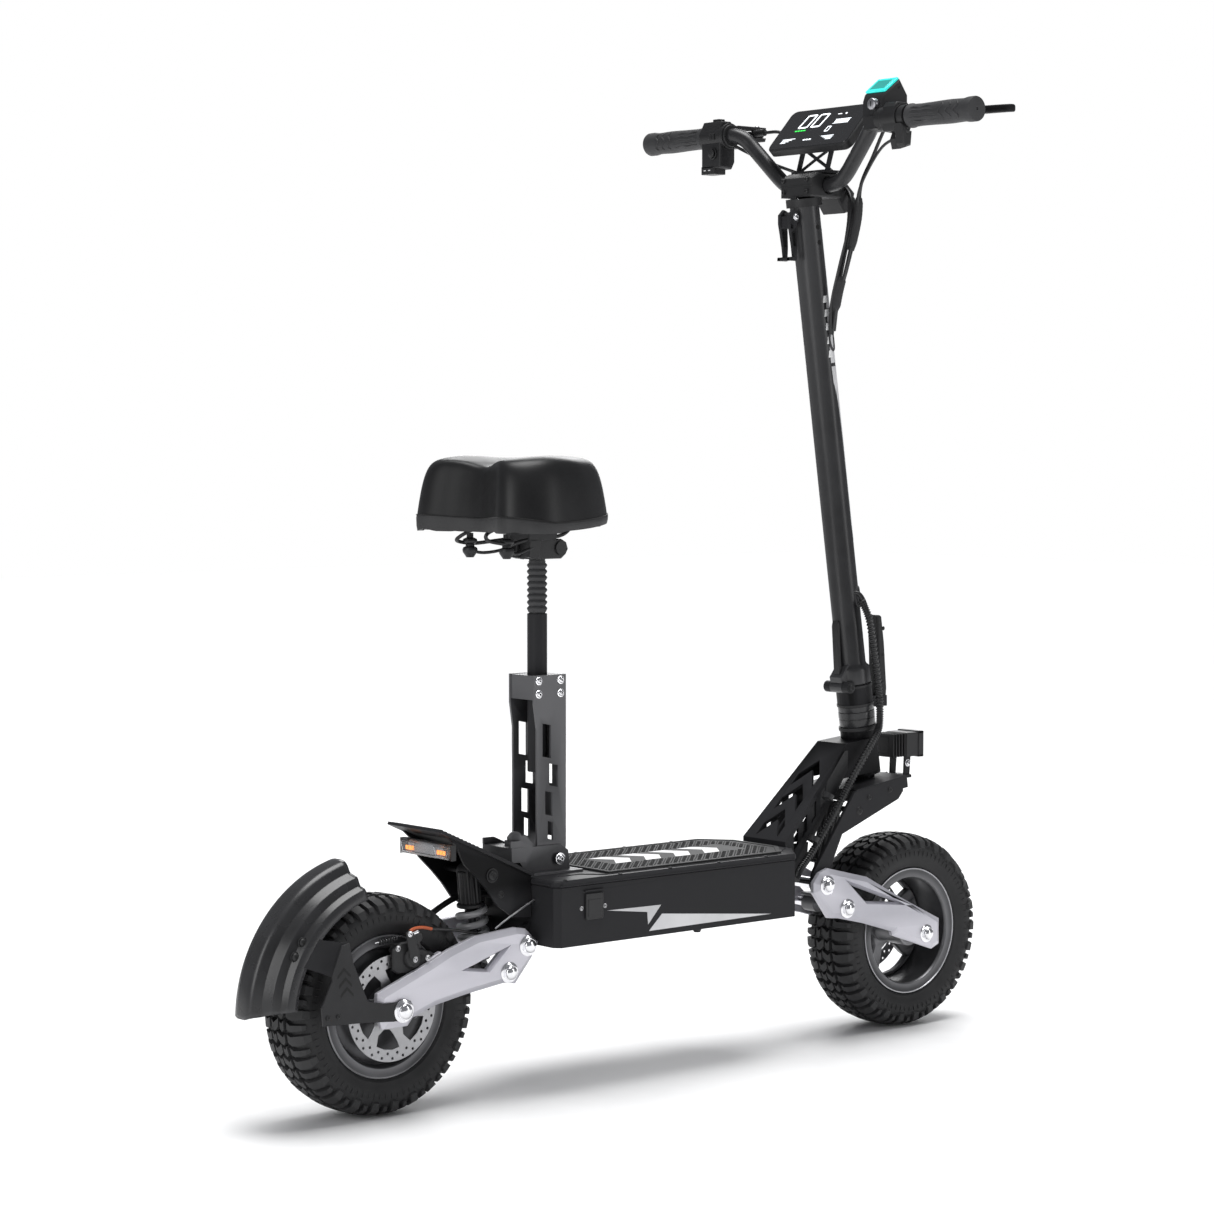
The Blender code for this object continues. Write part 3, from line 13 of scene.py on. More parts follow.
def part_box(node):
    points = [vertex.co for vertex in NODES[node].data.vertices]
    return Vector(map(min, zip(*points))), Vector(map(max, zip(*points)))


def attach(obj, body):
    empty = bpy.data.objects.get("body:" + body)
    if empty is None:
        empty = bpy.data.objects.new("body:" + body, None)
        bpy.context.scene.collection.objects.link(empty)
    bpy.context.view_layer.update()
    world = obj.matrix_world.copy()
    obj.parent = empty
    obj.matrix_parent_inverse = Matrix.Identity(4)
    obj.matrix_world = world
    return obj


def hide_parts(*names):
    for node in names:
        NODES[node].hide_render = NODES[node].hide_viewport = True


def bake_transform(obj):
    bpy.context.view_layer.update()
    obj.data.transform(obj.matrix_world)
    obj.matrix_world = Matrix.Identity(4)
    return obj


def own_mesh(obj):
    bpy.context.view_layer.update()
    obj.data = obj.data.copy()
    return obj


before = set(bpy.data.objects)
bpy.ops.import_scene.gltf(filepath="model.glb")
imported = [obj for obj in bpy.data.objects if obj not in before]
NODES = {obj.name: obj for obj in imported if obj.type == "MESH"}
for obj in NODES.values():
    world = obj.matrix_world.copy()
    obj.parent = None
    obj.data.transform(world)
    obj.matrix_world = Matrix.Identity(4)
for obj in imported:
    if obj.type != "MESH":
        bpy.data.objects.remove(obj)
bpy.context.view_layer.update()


# ---------------------------------------------------------------- places read from the frame
def middle(node):
    low, high = (Vector(corner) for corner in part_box(node))
    return (low + high) / 2


ORIGIN = Vector((middle("rear_tyre").x, 0.0, 0.0))
WHEELBASE = middle("front_tyre").x - ORIGIN.x
TYRE_RADIUS = middle("rear_tyre").z
TYRE_HALF_WIDTH = Vector(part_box("rear_tyre")[1]).y
REAR_AXLE = Vector((0.0, 0.0, TYRE_RADIUS))
FRONT_AXLE = Vector((WHEELBASE, 0.0, TYRE_RADIUS))
ARM_INNER_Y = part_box("rear_arm_left")[0][1]
ARM_OUTER_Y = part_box("rear_arm_left")[1][1]
DECK_MAT_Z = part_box("deck_cover")[1][2]
DECK_TOP_Z = DECK_MAT_Z - 0.0015
FENDER_RADIUS = ORIGIN.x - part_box("rear_fender")[0][0]

STEER_POINT = Vector((0.899, 0.0, 0.434))
STEER_LEAN = math.radians(8.45)
STEER_AXIS = Vector((-math.sin(STEER_LEAN), 0.0, math.cos(STEER_LEAN)))
STEM_RADIUS = 0.0215
BAR_RADIUS = 0.0111
BAR_CLAMP = Vector((0.8, 0.0, 1.25))
BAR_END = Vector((0.782, 0.341, 1.334))
REAR_PIVOT = middle("rear_pivot_shaft") - ORIGIN
REAR_CROSS = middle("rear_cross_bolt") - ORIGIN
FRONT_PIVOT = middle("front_pivot_shaft") - ORIGIN
FRONT_CROSS = middle("front_cross_bolt") - ORIGIN
REAR_SHOCK_TOP = Vector((0.1636, 0.0, 0.3035))
POST_X = 0.283
HEADLIGHT_LOW = Vector((0.949, -0.0225, 0.4035))
HEADLIGHT_HIGH = Vector((1.014, 0.0225, 0.4425))
BEAD_RADIUS = 0.0011
SIDES = (("left", 1), ("right", -1))


def on_axis(height):
    """A point on the steering axis, a height along it above the head tube's rim."""
    return STEER_POINT + STEER_AXIS * height


def height_at(z):
    """How far along the steering axis a level lies."""
    return (z - STEER_POINT.z) / math.cos(STEER_LEAN)


# ---------------------------------------------------------------- materials
def ramp_between(nodes, links, source, low_colour, high_colour, low=0.35, high=0.65):
    ramp = nodes.new("ShaderNodeValToRGB")
    ramp.color_ramp.elements[0].position = low
    ramp.color_ramp.elements[1].position = high
    ramp.color_ramp.elements[0].color = (*low_colour, 1.0)
    ramp.color_ramp.elements[1].color = (*high_colour, 1.0)
    links.new(source, ramp.inputs["Fac"])
    return ramp.outputs["Color"]


def noise(nodes, links, coordinates, scale, detail):
    texture = nodes.new("ShaderNodeTexNoise")
    texture.inputs["Scale"].default_value = scale
    texture.inputs["Detail"].default_value = detail
    texture.inputs["Roughness"].default_value = 0.55
    links.new(coordinates, texture.inputs["Vector"])
    return texture.outputs["Fac"]


def surface(name, colour, roughness, metallic=0.0, variation=0.18, grain_scale=1400.0,
            grain_depth=0.00003, roughness_spread=0.06, wear=None, coat=0.0, specular=0.5,
            pattern="noise", stretch=None):
    """A surface with clouded colour and roughness, a fine grain and worn edges."""
    material = bpy.data.materials.new(name)
    material.use_nodes = True
    nodes, links = material.node_tree.nodes, material.node_tree.links
    shader = nodes["Principled BSDF"]
    shader.inputs["Metallic"].default_value = metallic
    shader.inputs["Specular IOR Level"].default_value = specular
    shader.inputs["Coat Weight"].default_value = coat
    shader.inputs["Coat Roughness"].default_value = 0.12
    place = nodes.new("ShaderNodeTexCoord").outputs["Object"]
    if stretch:
        mapping = nodes.new("ShaderNodeMapping")
        mapping.inputs["Scale"].default_value = stretch
        links.new(place, mapping.inputs["Vector"])
        place = mapping.outputs["Vector"]
    clouds = noise(nodes, links, place, 22.0, 5.0)
    dark = tuple(c * (1.0 - variation) for c in colour)
    light = tuple(min(1.0, c * (1.0 + variation)) for c in colour)
    tone = ramp_between(nodes, links, clouds, dark, light)
    if wear is not None:
        edges = nodes.new("ShaderNodeNewGeometry").outputs["Pointiness"]
        mask = ramp_between(nodes, links, edges, (0, 0, 0), (1, 1, 1), 0.515, 0.56)
        mix = nodes.new("ShaderNodeMix")
        mix.data_type = "RGBA"
        links.new(mask, mix.inputs["Factor"])
        links.new(tone, mix.inputs["A"])
        mix.inputs["B"].default_value = (*wear, 1.0)
        tone = mix.outputs["Result"]
    links.new(tone, shader.inputs["Base Color"])
    spread = nodes.new("ShaderNodeMapRange")
    spread.inputs["To Min"].default_value = max(0.02, roughness - roughness_spread)
    spread.inputs["To Max"].default_value = min(1.0, roughness + roughness_spread)
    links.new(clouds, spread.inputs["Value"])
    links.new(spread.outputs["Result"], shader.inputs["Roughness"])
    if pattern == "cells":
        cells = nodes.new("ShaderNodeTexVoronoi")
        cells.feature = "SMOOTH_F1"
        cells.inputs["Scale"].default_value = grain_scale
        links.new(place, cells.inputs["Vector"])
        grain = cells.outputs["Distance"]
    else:
        grain = noise(nodes, links, place, grain_scale, 2.0)
    bump = nodes.new("ShaderNodeBump")
    bump.inputs["Strength"].default_value = 0.6
    bump.inputs["Distance"].default_value = grain_depth
    links.new(grain, bump.inputs["Height"])
    links.new(bump.outputs["Normal"], shader.inputs["Normal"])
    return material


def glowing(name, colour, strength, roughness=0.3):
    """A lit surface: print on a screen, or a light-emitting strip, slightly uneven."""
    material = surface(name, colour, roughness, variation=0.1, grain_depth=0.00001)
    shader = material.node_tree.nodes["Principled BSDF"]
    shader.inputs["Emission Color"].default_value = (*colour, 1.0)
    shader.inputs["Emission Strength"].default_value = strength
    return material


def clear(name, colour):
    """Clear moulded plastic with a faint ripple."""
    material = surface(name, colour, 0.04, variation=0.04, grain_scale=220.0,
                       grain_depth=0.0001, roughness_spread=0.02)
    shader = material.node_tree.nodes["Principled BSDF"]
    shader.inputs["Transmission Weight"].default_value = 0.92
    shader.inputs["IOR"].default_value = 1.45
    return material


TUBE_COAT = surface("tube_coat", (0.021, 0.021, 0.0225), 0.34, 0.1, grain_scale=1100.0,
                    grain_depth=0.00005, wear=(0.04, 0.04, 0.042), specular=0.45)
POWDER_COAT = surface("powder_coat", (0.006, 0.006, 0.0066), 0.44, 0.0, grain_scale=1100.0,
                      grain_depth=0.00005, wear=(0.026, 0.026, 0.028), specular=0.1)
BRACKET_COAT = surface("bracket_coat", (0.02, 0.02, 0.0215), 0.42, 0.1, grain_scale=1000.0,
                       grain_depth=0.00005, specular=0.3)
DARK_COAT = surface("dark_coat", (0.036, 0.036, 0.039), 0.42, 0.35, grain_scale=1100.0,
                    grain_depth=0.00006, wear=(0.1, 0.1, 0.105))
SILVER_COAT = surface("silver_coat", (0.47, 0.465, 0.51), 0.36, 0.35, variation=0.05,
                      grain_scale=2600.0, grain_depth=0.00003, wear=(0.6, 0.59, 0.64), coat=0.15)
WHEEL_COAT = surface("wheel_coat", (0.066, 0.066, 0.07), 0.36, 0.6, grain_scale=1500.0,
                     wear=(0.26, 0.26, 0.27))
CAST_BLACK = surface("cast_black", (0.02, 0.02, 0.021), 0.52, 0.3, grain_scale=700.0,
                     grain_depth=0.00012)
MOULDED = surface("moulded_plastic", (0.011, 0.011, 0.012), 0.44, grain_scale=900.0,
                  grain_depth=0.00007, specular=0.3, wear=(0.022, 0.022, 0.023))
FENDER_PLASTIC = surface("fender_plastic", (0.023, 0.023, 0.024), 0.27, grain_scale=600.0,
                         grain_depth=0.00004, specular=0.42, wear=(0.03, 0.03, 0.032))
GRIP_RUBBER = surface("grip_rubber", (0.04, 0.04, 0.042), 0.62, grain_scale=520.0,
                      grain_depth=0.00016, pattern="cells", specular=0.35)
TYRE_RUBBER = surface("tyre_rubber", (0.016, 0.016, 0.0168), 0.58, grain_scale=650.0,
                      grain_depth=0.00012, variation=0.28, specular=0.3, wear=(0.03, 0.03, 0.031))
CABLE_SKIN = surface("cable_skin", (0.012, 0.012, 0.013), 0.4, grain_scale=500.0,
                     grain_depth=0.00005)
SLEEVE_WEAVE = surface("sleeve_weave", (0.018, 0.018, 0.019), 0.7, grain_scale=900.0,
                       grain_depth=0.0003, pattern="cells", variation=0.3)
LEATHER = surface("saddle_leather", (0.0095, 0.0095, 0.01), 0.4, grain_scale=620.0,
                  grain_depth=0.00008, pattern="cells", specular=0.3, variation=0.12)
SKIRT = surface("saddle_skirt", (0.03, 0.03, 0.031), 0.58, grain_scale=800.0, grain_depth=0.00014,
                pattern="cells", specular=0.4)
CHROME = surface("chrome", (0.8, 0.8, 0.82), 0.14, 1.0, variation=0.05, grain_depth=0.00001,
                 roughness_spread=0.04)
DISC_STEEL = surface("disc_steel", (0.34, 0.34, 0.35), 0.36, 0.9, variation=0.1, grain_scale=900.0,
                     grain_depth=0.00004, stretch=(1.0, 0.2, 1.0))
STEEL = surface("steel", (0.5, 0.5, 0.51), 0.3, 1.0, grain_scale=1200.0)
COIL = surface("spring_coat", (0.42, 0.42, 0.43), 0.38, 0.2, grain_scale=900.0,
               grain_depth=0.00005)
MAT_RUBBER = surface("mat_rubber", (0.021, 0.021, 0.022), 0.66, grain_scale=700.0,
                     grain_depth=0.0002, pattern="cells")
WHITE_PRINT = surface("white_print", (0.8, 0.8, 0.8), 0.5, variation=0.04)
SILVER_PRINT = surface("silver_print", (0.5, 0.5, 0.51), 0.35, 0.5, variation=0.06)
PALE_PRINT = surface("pale_print", (0.66, 0.66, 0.67), 0.42, 0.2, variation=0.05)
SCREEN = surface("screen_glass", (0.008, 0.008, 0.009), 0.1, variation=0.05, grain_depth=0.000004,
                 roughness_spread=0.03, coat=0.6)
ORANGE_BOOT = surface("orange_boot", (0.42, 0.09, 0.03), 0.5, grain_scale=600.0, grain_depth=0.0001)
# Near black with two uses: painted shade for recesses (bolt sockets, stem screw holes, cable port
# openings, the key slot) and the real colour of dark marks and piping.
HOLE_SHADE_AND_DARK_TRIM = surface("painted_hole_shade_and_dark_trim", (0.01, 0.01, 0.01), 0.5, 0.5)
AMBER = glowing("amber_light", (1.0, 0.3, 0.03), 1.6)
SCREEN_WHITE = glowing("screen_white", (0.9, 0.95, 1.0), 1.5)
SCREEN_GREEN = glowing("screen_green", (0.05, 0.75, 0.1), 1.2)
TEAL_GLASS = glowing("teal_glass", (0.02, 0.3, 0.27), 0.35, 0.12)
TEAL = glowing("teal_lens", (0.03, 0.55, 0.5), 0.9, 0.15)
CLEAR = clear("clear_lens", (0.93, 0.94, 0.96))
REFLECTOR = surface("reflector", (0.55, 0.55, 0.57), 0.22, 0.9, grain_scale=300.0,
                    grain_depth=0.0003, pattern="cells")
BATTERY_WRAP = surface("battery_wrap", (0.04, 0.14, 0.3), 0.45, variation=0.1)
BARE_ALUMINIUM = surface("bare_aluminium", (0.45, 0.45, 0.47), 0.36, 1.0)


# ---------------------------------------------------------------- mesh making
def round_edges(obj, width):
    """Rounds an object's sharper edges by a modifier."""
    edges = obj.modifiers.new("edges", "BEVEL")
    edges.width = width
    edges.segments = 2
    edges.limit_method = "ANGLE"
    edges.angle_limit = math.radians(40)


def dress(node, material, bevel=0.0):
    """A carried-over CAD node: its material, and edges rounded by modifiers."""
    obj = NODES[node]
    obj.data.materials.clear()
    obj.data.materials.append(material)
    if bevel:
        weld = obj.modifiers.new("weld", "WELD")
        weld.merge_threshold = 0.00002
        round_edges(obj, bevel)


def mesh_object(name, shape, materials, smooth_angle):
    """An object from a bmesh drawn from the rear axle, smooth but for its sharp edges."""
    mesh = bpy.data.meshes.new(name)
    shape.to_mesh(mesh)
    shape.free()
    for material in materials:
        mesh.materials.append(material)
    mesh.polygons.foreach_set("use_smooth", [True] * len(mesh.polygons))
    mesh.set_sharp_from_angle(angle=math.radians(smooth_angle))
    obj = bpy.data.objects.new(name, mesh)
    bpy.context.scene.collection.objects.link(obj)
    obj.location = ORIGIN
    return obj


def piece(name, shape, material, body, replaces=(), smooth_angle=34.0, bevel=0.0, extra=()):
    """Makes an object from a bmesh and files it on its body; one with no body is left unattached.
    """
    bmesh.ops.recalc_face_normals(shape, faces=shape.faces)
    obj = mesh_object(name, shape, (material, *extra), smooth_angle)
    if bevel:
        round_edges(obj, bevel)
    if body:
        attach(obj, body)
    if replaces:
        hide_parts(*replaces)
    return obj


def frame_along(axis):
    """A rotation whose Z points along an axis."""
    return Vector((0, 0, 1)).rotation_difference(Vector(axis).normalized()).to_matrix().to_4x4()


def add_box(shape, low, high, turn=None):
    """A box between two corners, turned by a matrix if one is given."""
    low, high = Vector(low), Vector(high)
    matrix = Matrix.Translation((low + high) / 2) @ Matrix.Diagonal((*(high - low), 1.0))
    if turn is not None:
        matrix = turn @ matrix
    return bmesh.ops.create_cube(shape, size=1.0, matrix=matrix)["verts"]


def add_rod(shape, start, end, radius, sides=32, end_radius=None):
    """A capped cylinder, or a cone if it has an end radius."""
    start, end = Vector(start), Vector(end)
    matrix = Matrix.Translation((start + end) / 2) @ frame_along(end - start)
    bmesh.ops.create_cone(
        shape, cap_ends=True, segments=sides, radius1=radius,
        radius2=radius if end_radius is None else end_radius,
        depth=(end - start).length, matrix=matrix,
    )


def add_rings(shape, rings, closed_rings=True, closed_way=False, caps=True):
    """Skins a row of rings of points, with a cap at each end unless the row is closed."""
    rows = [[shape.verts.new(point) for point in ring] for ring in rings]
    count = len(rows[0])
    pairs = list(zip(rows, rows[1:]))
    if closed_way:
        pairs.append((rows[-1], rows[0]))
    for first, second in pairs:
        for i in range(count if closed_rings else count - 1):
            j = (i + 1) % count
            shape.faces.new((first[i], first[j], second[j], second[i]))
    if caps and closed_rings and not closed_way:
        shape.faces.new(list(reversed(rows[0])))
        shape.faces.new(rows[-1])


def add_turned(shape, profile, origin, axis, sides=48, closed=False):
    """Turns a profile of (radius, height) about an axis; a closed profile makes a ring."""
    matrix = Matrix.Translation(Vector(origin)) @ frame_along(axis)
    rings = []
    for k in range(sides):
        turn = 2 * math.pi * k / sides
        rings.append([matrix @ Vector((*polar((0.0, 0.0), radius, turn), height))
                      for radius, height in profile])
    add_rings(shape, rings, closed_rings=closed, closed_way=True, caps=False)
    if not closed:
        bmesh.ops.remove_doubles(shape, verts=shape.verts, dist=0.000002)


def spline_point(a, b, c, d, t):
    """A point on the Catmull-Rom span from b to c."""
    return 0.5 * (b * 2 + (c - a) * t + (a * 2 - b * 5 + c * 4 - d) * t**2
                  + (b * 3 - a - c * 3 + d) * t**3)


def smooth_route(points, count):
    """Evenly spread points on a Catmull-Rom curve through the given ones."""
    points = [Vector(p) for p in points]
    ends = [points[0] * 2 - points[1], *points, points[-1] * 2 - points[-2]]
    spans = len(points) - 1
    route = []
    for i in range(count):
        place = i * spans / (count - 1)
        span = min(int(place), spans - 1)
        route.append(spline_point(*ends[span : span + 4], place - span))
    return route


def add_tube(shape, points, radius, sides=12, swell=None):
    """A round tube along points; swell gives each point's radius factor."""
    points = [Vector(p) for p in points]
    side = (points[1] - points[0]).orthogonal().normalized()
    rings = []
    for i, point in enumerate(points):
        ahead = points[min(i + 1, len(points) - 1)] - points[max(i - 1, 0)]
        ahead.normalize()
        side = (side - ahead * side.dot(ahead)).normalized()
        up = ahead.cross(side)
        size = radius * (swell(i) if swell else 1.0)
        turns = [2 * math.pi * k / sides for k in range(sides)]
        rings.append([point + (side * math.cos(t) + up * math.sin(t)) * size for t in turns])
    add_rings(shape, rings)


def outline_shape(outlines, half_thickness, chamfer=0.0):
    """A bmesh of a flat outline with holes, thick along Z, with chamfered rims."""
    data = bpy.data.curves.new("outline", "CURVE")
    data.dimensions = "2D"
    data.fill_mode = "BOTH"
    data.extrude = half_thickness - chamfer
    data.bevel_depth = chamfer
    data.bevel_resolution = 0
    data.offset = -chamfer
    for outline in outlines:
        spline = data.splines.new("POLY")
        spline.points.add(len(outline) - 1)
        for point, (a, b) in zip(spline.points, outline):
            point.co = (a, b, 0.0, 1.0)
        spline.use_cyclic_u = True
    curve = bpy.data.objects.new("outline", data)
    bpy.context.scene.collection.objects.link(curve)
    graph = bpy.context.evaluated_depsgraph_get()
    mesh = bpy.data.meshes.new_from_object(curve.evaluated_get(graph))
    bpy.data.objects.remove(curve)
    shape = bmesh.new()
    shape.from_mesh(mesh)
    bpy.data.meshes.remove(mesh)
    bmesh.ops.remove_doubles(shape, verts=shape.verts, dist=0.00001)
    return shape


def add_plate(shape, outlines, low, high, axis="Y", chamfer=0.0, turn=None):
    """An outline in X and Z thick along Y, or in X and Y thick along Z, added to a bmesh."""
    flat = outline_shape(outlines, (high - low) / 2, chamfer)
    matrix = Matrix.Translation((0.0, 0.0, (low + high) / 2))
    if axis == "Y":
        matrix = Matrix.Translation((0.0, (low + high) / 2, 0.0)) @ Matrix.Rotation(
            math.pi / 2, 4, "X"
        )
    if turn is not None:
        matrix = turn @ matrix
    flat.transform(matrix)
    mesh = bpy.data.meshes.new("plate")
    flat.to_mesh(mesh)
    flat.free()
    shape.from_mesh(mesh)
    bpy.data.meshes.remove(mesh)


def add_side_plate(shape, outlines, sign, inner, outer, chamfer=0.0):
    """A plate on the left (sign 1) or right (sign -1), between two distances from the middle."""
    low, high = sorted((sign * inner, sign * outer))
    add_plate(shape, outlines, low, high, chamfer=chamfer)


def polar(centre, radius, angle):
    """A point at a radius and an angle from a centre in a plane."""
    return (centre[0] + radius * math.cos(angle), centre[1] + radius * math.sin(angle))


def circle(centre, radius, count=24):
    return [polar(centre, radius, 2 * math.pi * i / count) for i in range(count)]


def wheel_window(place, corners, shift):
    """A window's outline from (radius, degrees) corners, turned round the wheel by a shift."""
    return [polar(place, radius, math.radians(angle + shift)) for radius, angle in corners]


def add_cap_bolt(shape, point, direction, radius, height, sides=24):
    """A domed cap screw on a washer, with a near-black hexagon on its top as the second material:
    painted shade standing in for the socket's recess.
    """
    direction = Vector(direction).normalized()
    profile = [
        (0.0, height * 0.9), (radius * 0.42, height * 0.9), (radius * 0.5, height),
        (radius * 0.7, height * 0.93), (radius * 0.9, height * 0.7), (radius, height * 0.42),
        (radius, height * 0.16), (radius * 1.28, height * 0.14), (radius * 1.3, 0.0), (0.0, 0.0),
    ]
    add_turned(shape, profile, point, direction, sides)
    before = len(shape.faces)
    tip = Vector(point) + direction * height * 0.9
    add_rod(shape, tip, tip + direction * height * 0.035, radius * 0.38, 6)
    shape.faces.ensure_lookup_table()
    for face in shape.faces[before:]:
        face.material_index = 1


def bolt_piece(name, bolts, material, body):
    """A piece of cap bolts, each given as point, direction, radius, height and sides."""
    shape = bmesh.new()
    for bolt in bolts:
        add_cap_bolt(shape, *bolt)
    piece(name, shape, material, body, extra=(HOLE_SHADE_AND_DARK_TRIM,))


def tube_piece(name, points, count, radius, sides, material, body):
    """A piece that is one smooth tube through the given points."""
    shape = bmesh.new()
    add_tube(shape, smooth_route(points, count), radius, sides)
    piece(name, shape, material, body)


def plate_piece(name, plates, material, body, replaces=()):
    """A piece of plates, each given as outline, low, high and chamfer."""
    shape = bmesh.new()
    for outline, low, high, chamfer in plates:
        add_plate(shape, [outline], low, high, chamfer=chamfer)
    piece(name, shape, material, body, replaces)


def box_piece(name, low, high, material, body, bevel=0.0, turn=None):
    """A piece that is one box."""
    shape = bmesh.new()
    add_box(shape, low, high, turn)
    piece(name, shape, material, body, bevel=bevel)


def add_hex_nut(shape, point, direction, radius, height):
    """A washer, a low hexagon and a high polished dome."""
    direction = Vector(direction).normalized()
    point = Vector(point)
    add_turned(shape, [(0.0, height * 0.16), (radius * 1.16, height * 0.16),
                       (radius * 1.26, height * 0.1), (radius * 1.26, 0.0), (0.0, 0.0)],
               point, direction, 40)
    add_rod(shape, point + direction * height * 0.16, point + direction * height * 0.5, radius, 6)
    add_turned(
        shape,
        [(0.0, height), (radius * 0.3, height * 0.975), (radius * 0.55, height * 0.89),
         (radius * 0.73, height * 0.76), (radius * 0.82, height * 0.6),
         (radius * 0.82, height * 0.48), (0.0, height * 0.48)],
        point, direction, 32,
    )


def inset_triangle(corners, share):
    """A triangle shrunk towards its incentre."""
    points = [Vector((a, b, 0.0)) for a, b in corners]
    weights = [(points[(i + 1) % 3] - points[(i + 2) % 3]).length for i in range(3)]
    centre = sum((p * w for p, w in zip(points, weights)), Vector()) / sum(weights)
    return [tuple((centre + (p - centre) * share)[:2]) for p in points]


def inset_outline(outline, distance):
    """A convex-ish outline moved inwards along its corners' bisectors."""
    count = len(outline)
    points = [Vector((a, b)) for a, b in outline]
    area = sum(points[i].cross(points[(i + 1) % count]) for i in range(count))
    turn = 1.0 if area > 0 else -1.0
    inner = []
    for i in range(count):
        before = (points[i] - points[i - 1]).normalized()
        after = (points[(i + 1) % count] - points[i]).normalized()
        first = Vector((-before.y, before.x)) * turn
        second = Vector((-after.y, after.x)) * turn
        bisector = (first + second).normalized()
        reach = distance / max(0.7, bisector.dot(first))
        inner.append(tuple(points[i] + bisector * reach))
    return inner


def add_fluted(shape, start, end, radius, flutes, depth):
    """A cylinder with upright grooves."""
    start, end = Vector(start), Vector(end)
    matrix = Matrix.Translation(start) @ frame_along(end - start)
    length = (end - start).length
    count = flutes * 4
    rings = []
    for height, shrink in ((0.0, 0.92), (0.0015, 1.0), (length - 0.0015, 1.0), (length, 0.92)):
        ring = []
        for k in range(count):
            turn = 2 * math.pi * k / count
            size = radius * shrink * (1.0 if k % 4 in (0, 1) else 1.0 - depth)
            ring.append(matrix @ Vector((size * math.cos(turn), size * math.sin(turn), height)))
        rings.append(ring)
    add_rings(shape, rings)


# ---------------------------------------------------------------- tyres and wheels
CARCASS = [
    (0.09, 0.03), (0.0925, 0.0345), (0.0965, 0.0378), (0.0985, 0.0392), (0.1, 0.0392),
    (0.106, 0.0418), (0.114, 0.0432), (0.122, 0.0428), (0.129, 0.0402), (0.134, 0.0352),
    (0.1368, 0.027), (0.1382, 0.015), (0.1386, 0.0),
]
LUG_ROWS = (
    # for each place across the tread, in metres: the start and end of the turn inside one pitch
    ((-0.003, 0.02, 0.4), (0.0034, 0.12, 0.56), (0.009, 0.22, 0.62), (0.014, 0.1, 0.48)),
    ((0.004, 0.62, 0.97), (0.009, 0.7, 1.1), (0.014, 0.56, 0.99)),
    ((0.0168, 0.08, 0.5), (0.024, 0.16, 0.6), (0.032, 0.12, 0.6), (0.04, 0.1, 0.55),
     (0.049, 0.13, 0.5)),
    ((0.0168, 0.6, 0.98), (0.024, 0.72, 1.06), (0.031, 0.7, 1.03), (0.039, 0.69, 0.99),
     (0.044, 0.71, 0.96)),
)
LUG_HEIGHTS = (0.0064, 0.0064, 0.006, 0.0056)
PITCHES = 26


def carcass_point(distance, lift):
    """(radius, across) on the carcass, a distance from its middle line, lifted off it."""
    half = list(reversed(CARCASS))
    side = 1.0 if distance >= 0 else -1.0
    left = abs(distance)
    for (r1, y1), (r2, y2) in zip(half, half[1:]):
        length = math.hypot(r2 - r1, y2 - y1)
        if left <= length:
            t = left / length
            along_r, along_y = (r2 - r1) / length, (y2 - y1) / length
            radius = r1 + (r2 - r1) * t + along_y * lift
            across = y1 + (y2 - y1) * t - along_r * lift
            return min(radius, TYRE_RADIUS), side * min(across, TYRE_HALF_WIDTH)
        left -= length
    return half[-1][0], side * half[-1][1]


def add_lug(shape, centre, rows, sign, pitch_start, pitch_angle, height):
    """One tread block: rows across the tyre, each from a start to an end of the turn."""
    taper = 0.045

    def place(distance, turn, lift):
        radius, across = carcass_point(sign * distance, lift)
        angle = pitch_start + turn * pitch_angle
        return centre + Vector((radius * math.cos(angle), across, radius * math.sin(angle)))

    top, base = [], []
    for index, (distance, start, end) in enumerate(rows):
        pull = 0.0009 if index == 0 else (-0.0009 if index == len(rows) - 1 else 0.0)
        fade = 1.0 if index < len(rows) - 1 or len(rows) < 5 else 0.55
        top.append(
            (place(distance + pull, start + taper, height * fade),
             place(distance + pull, end - taper, height * fade))
        )
        base.append((place(distance, start, -0.001), place(distance, end, -0.001)))
    add_rings(shape, [[a, b, d, c] for (a, b), (c, d) in zip(top, base)])


def make_tyre(name, node, body, centre):
    """A hollow carcass with staggered tread blocks and fine ribs on its shoulders."""
    shape = bmesh.new()
    right = [(r, -y) for r, y in CARCASS]
    profile = right + [(r, y) for r, y in reversed(CARCASS[:-1])]
    profile += [(0.1, 0.02), (0.1, -0.02)]
    add_turned(shape, profile, centre, (0, 1, 0), 104, closed=True)
    pitch_angle = 2 * math.pi / PITCHES
    for pitch in range(PITCHES):
        for sign, shift in ((1, 0.0), (-1, 0.5)):
            start = (pitch + shift) * pitch_angle
            for rows, height in zip(LUG_ROWS, LUG_HEIGHTS):
                add_lug(shape, centre, rows, sign, start, pitch_angle, height)
    ribs = PITCHES * 3
    for sign in (1, -1):
        for k in range(ribs):
            add_sidewall_rib(shape, centre, sign, 2 * math.pi * k / ribs)
    piece(name, shape, TYRE_RUBBER, body, (node,), smooth_angle=30.0)


def add_sidewall_rib(shape, centre, sign, angle):
    """A fine radial rib low on the shoulder."""
    rings = []
    for distance in (0.052, 0.056, 0.06):
        fade = 0.0012 if distance < 0.06 else 0.0004
        ring = []
        for turn, lift in ((-0.004, -0.0005), (-0.002, fade), (0.002, fade), (0.004, -0.0005)):
            radius, across = carcass_point(sign * distance, lift)
            spot = angle + turn
            ring.append(centre + Vector((radius * math.cos(spot), across, radius * math.sin(spot))))
        rings.append(ring)
    add_rings(shape, rings)


def add_ring_of_bolts(shape, centre, y, direction, ring_radius, count, radius, height):
    """Cap bolts on a circle round an axle, facing left (direction 1) or right (-1)."""
    for k in range(count):
        x, z = polar((centre.x, centre.z), ring_radius, 2 * math.pi * (k + 0.5) / count)
        add_cap_bolt(shape, (x, y, z), (0, direction, 0), radius, height, 12)


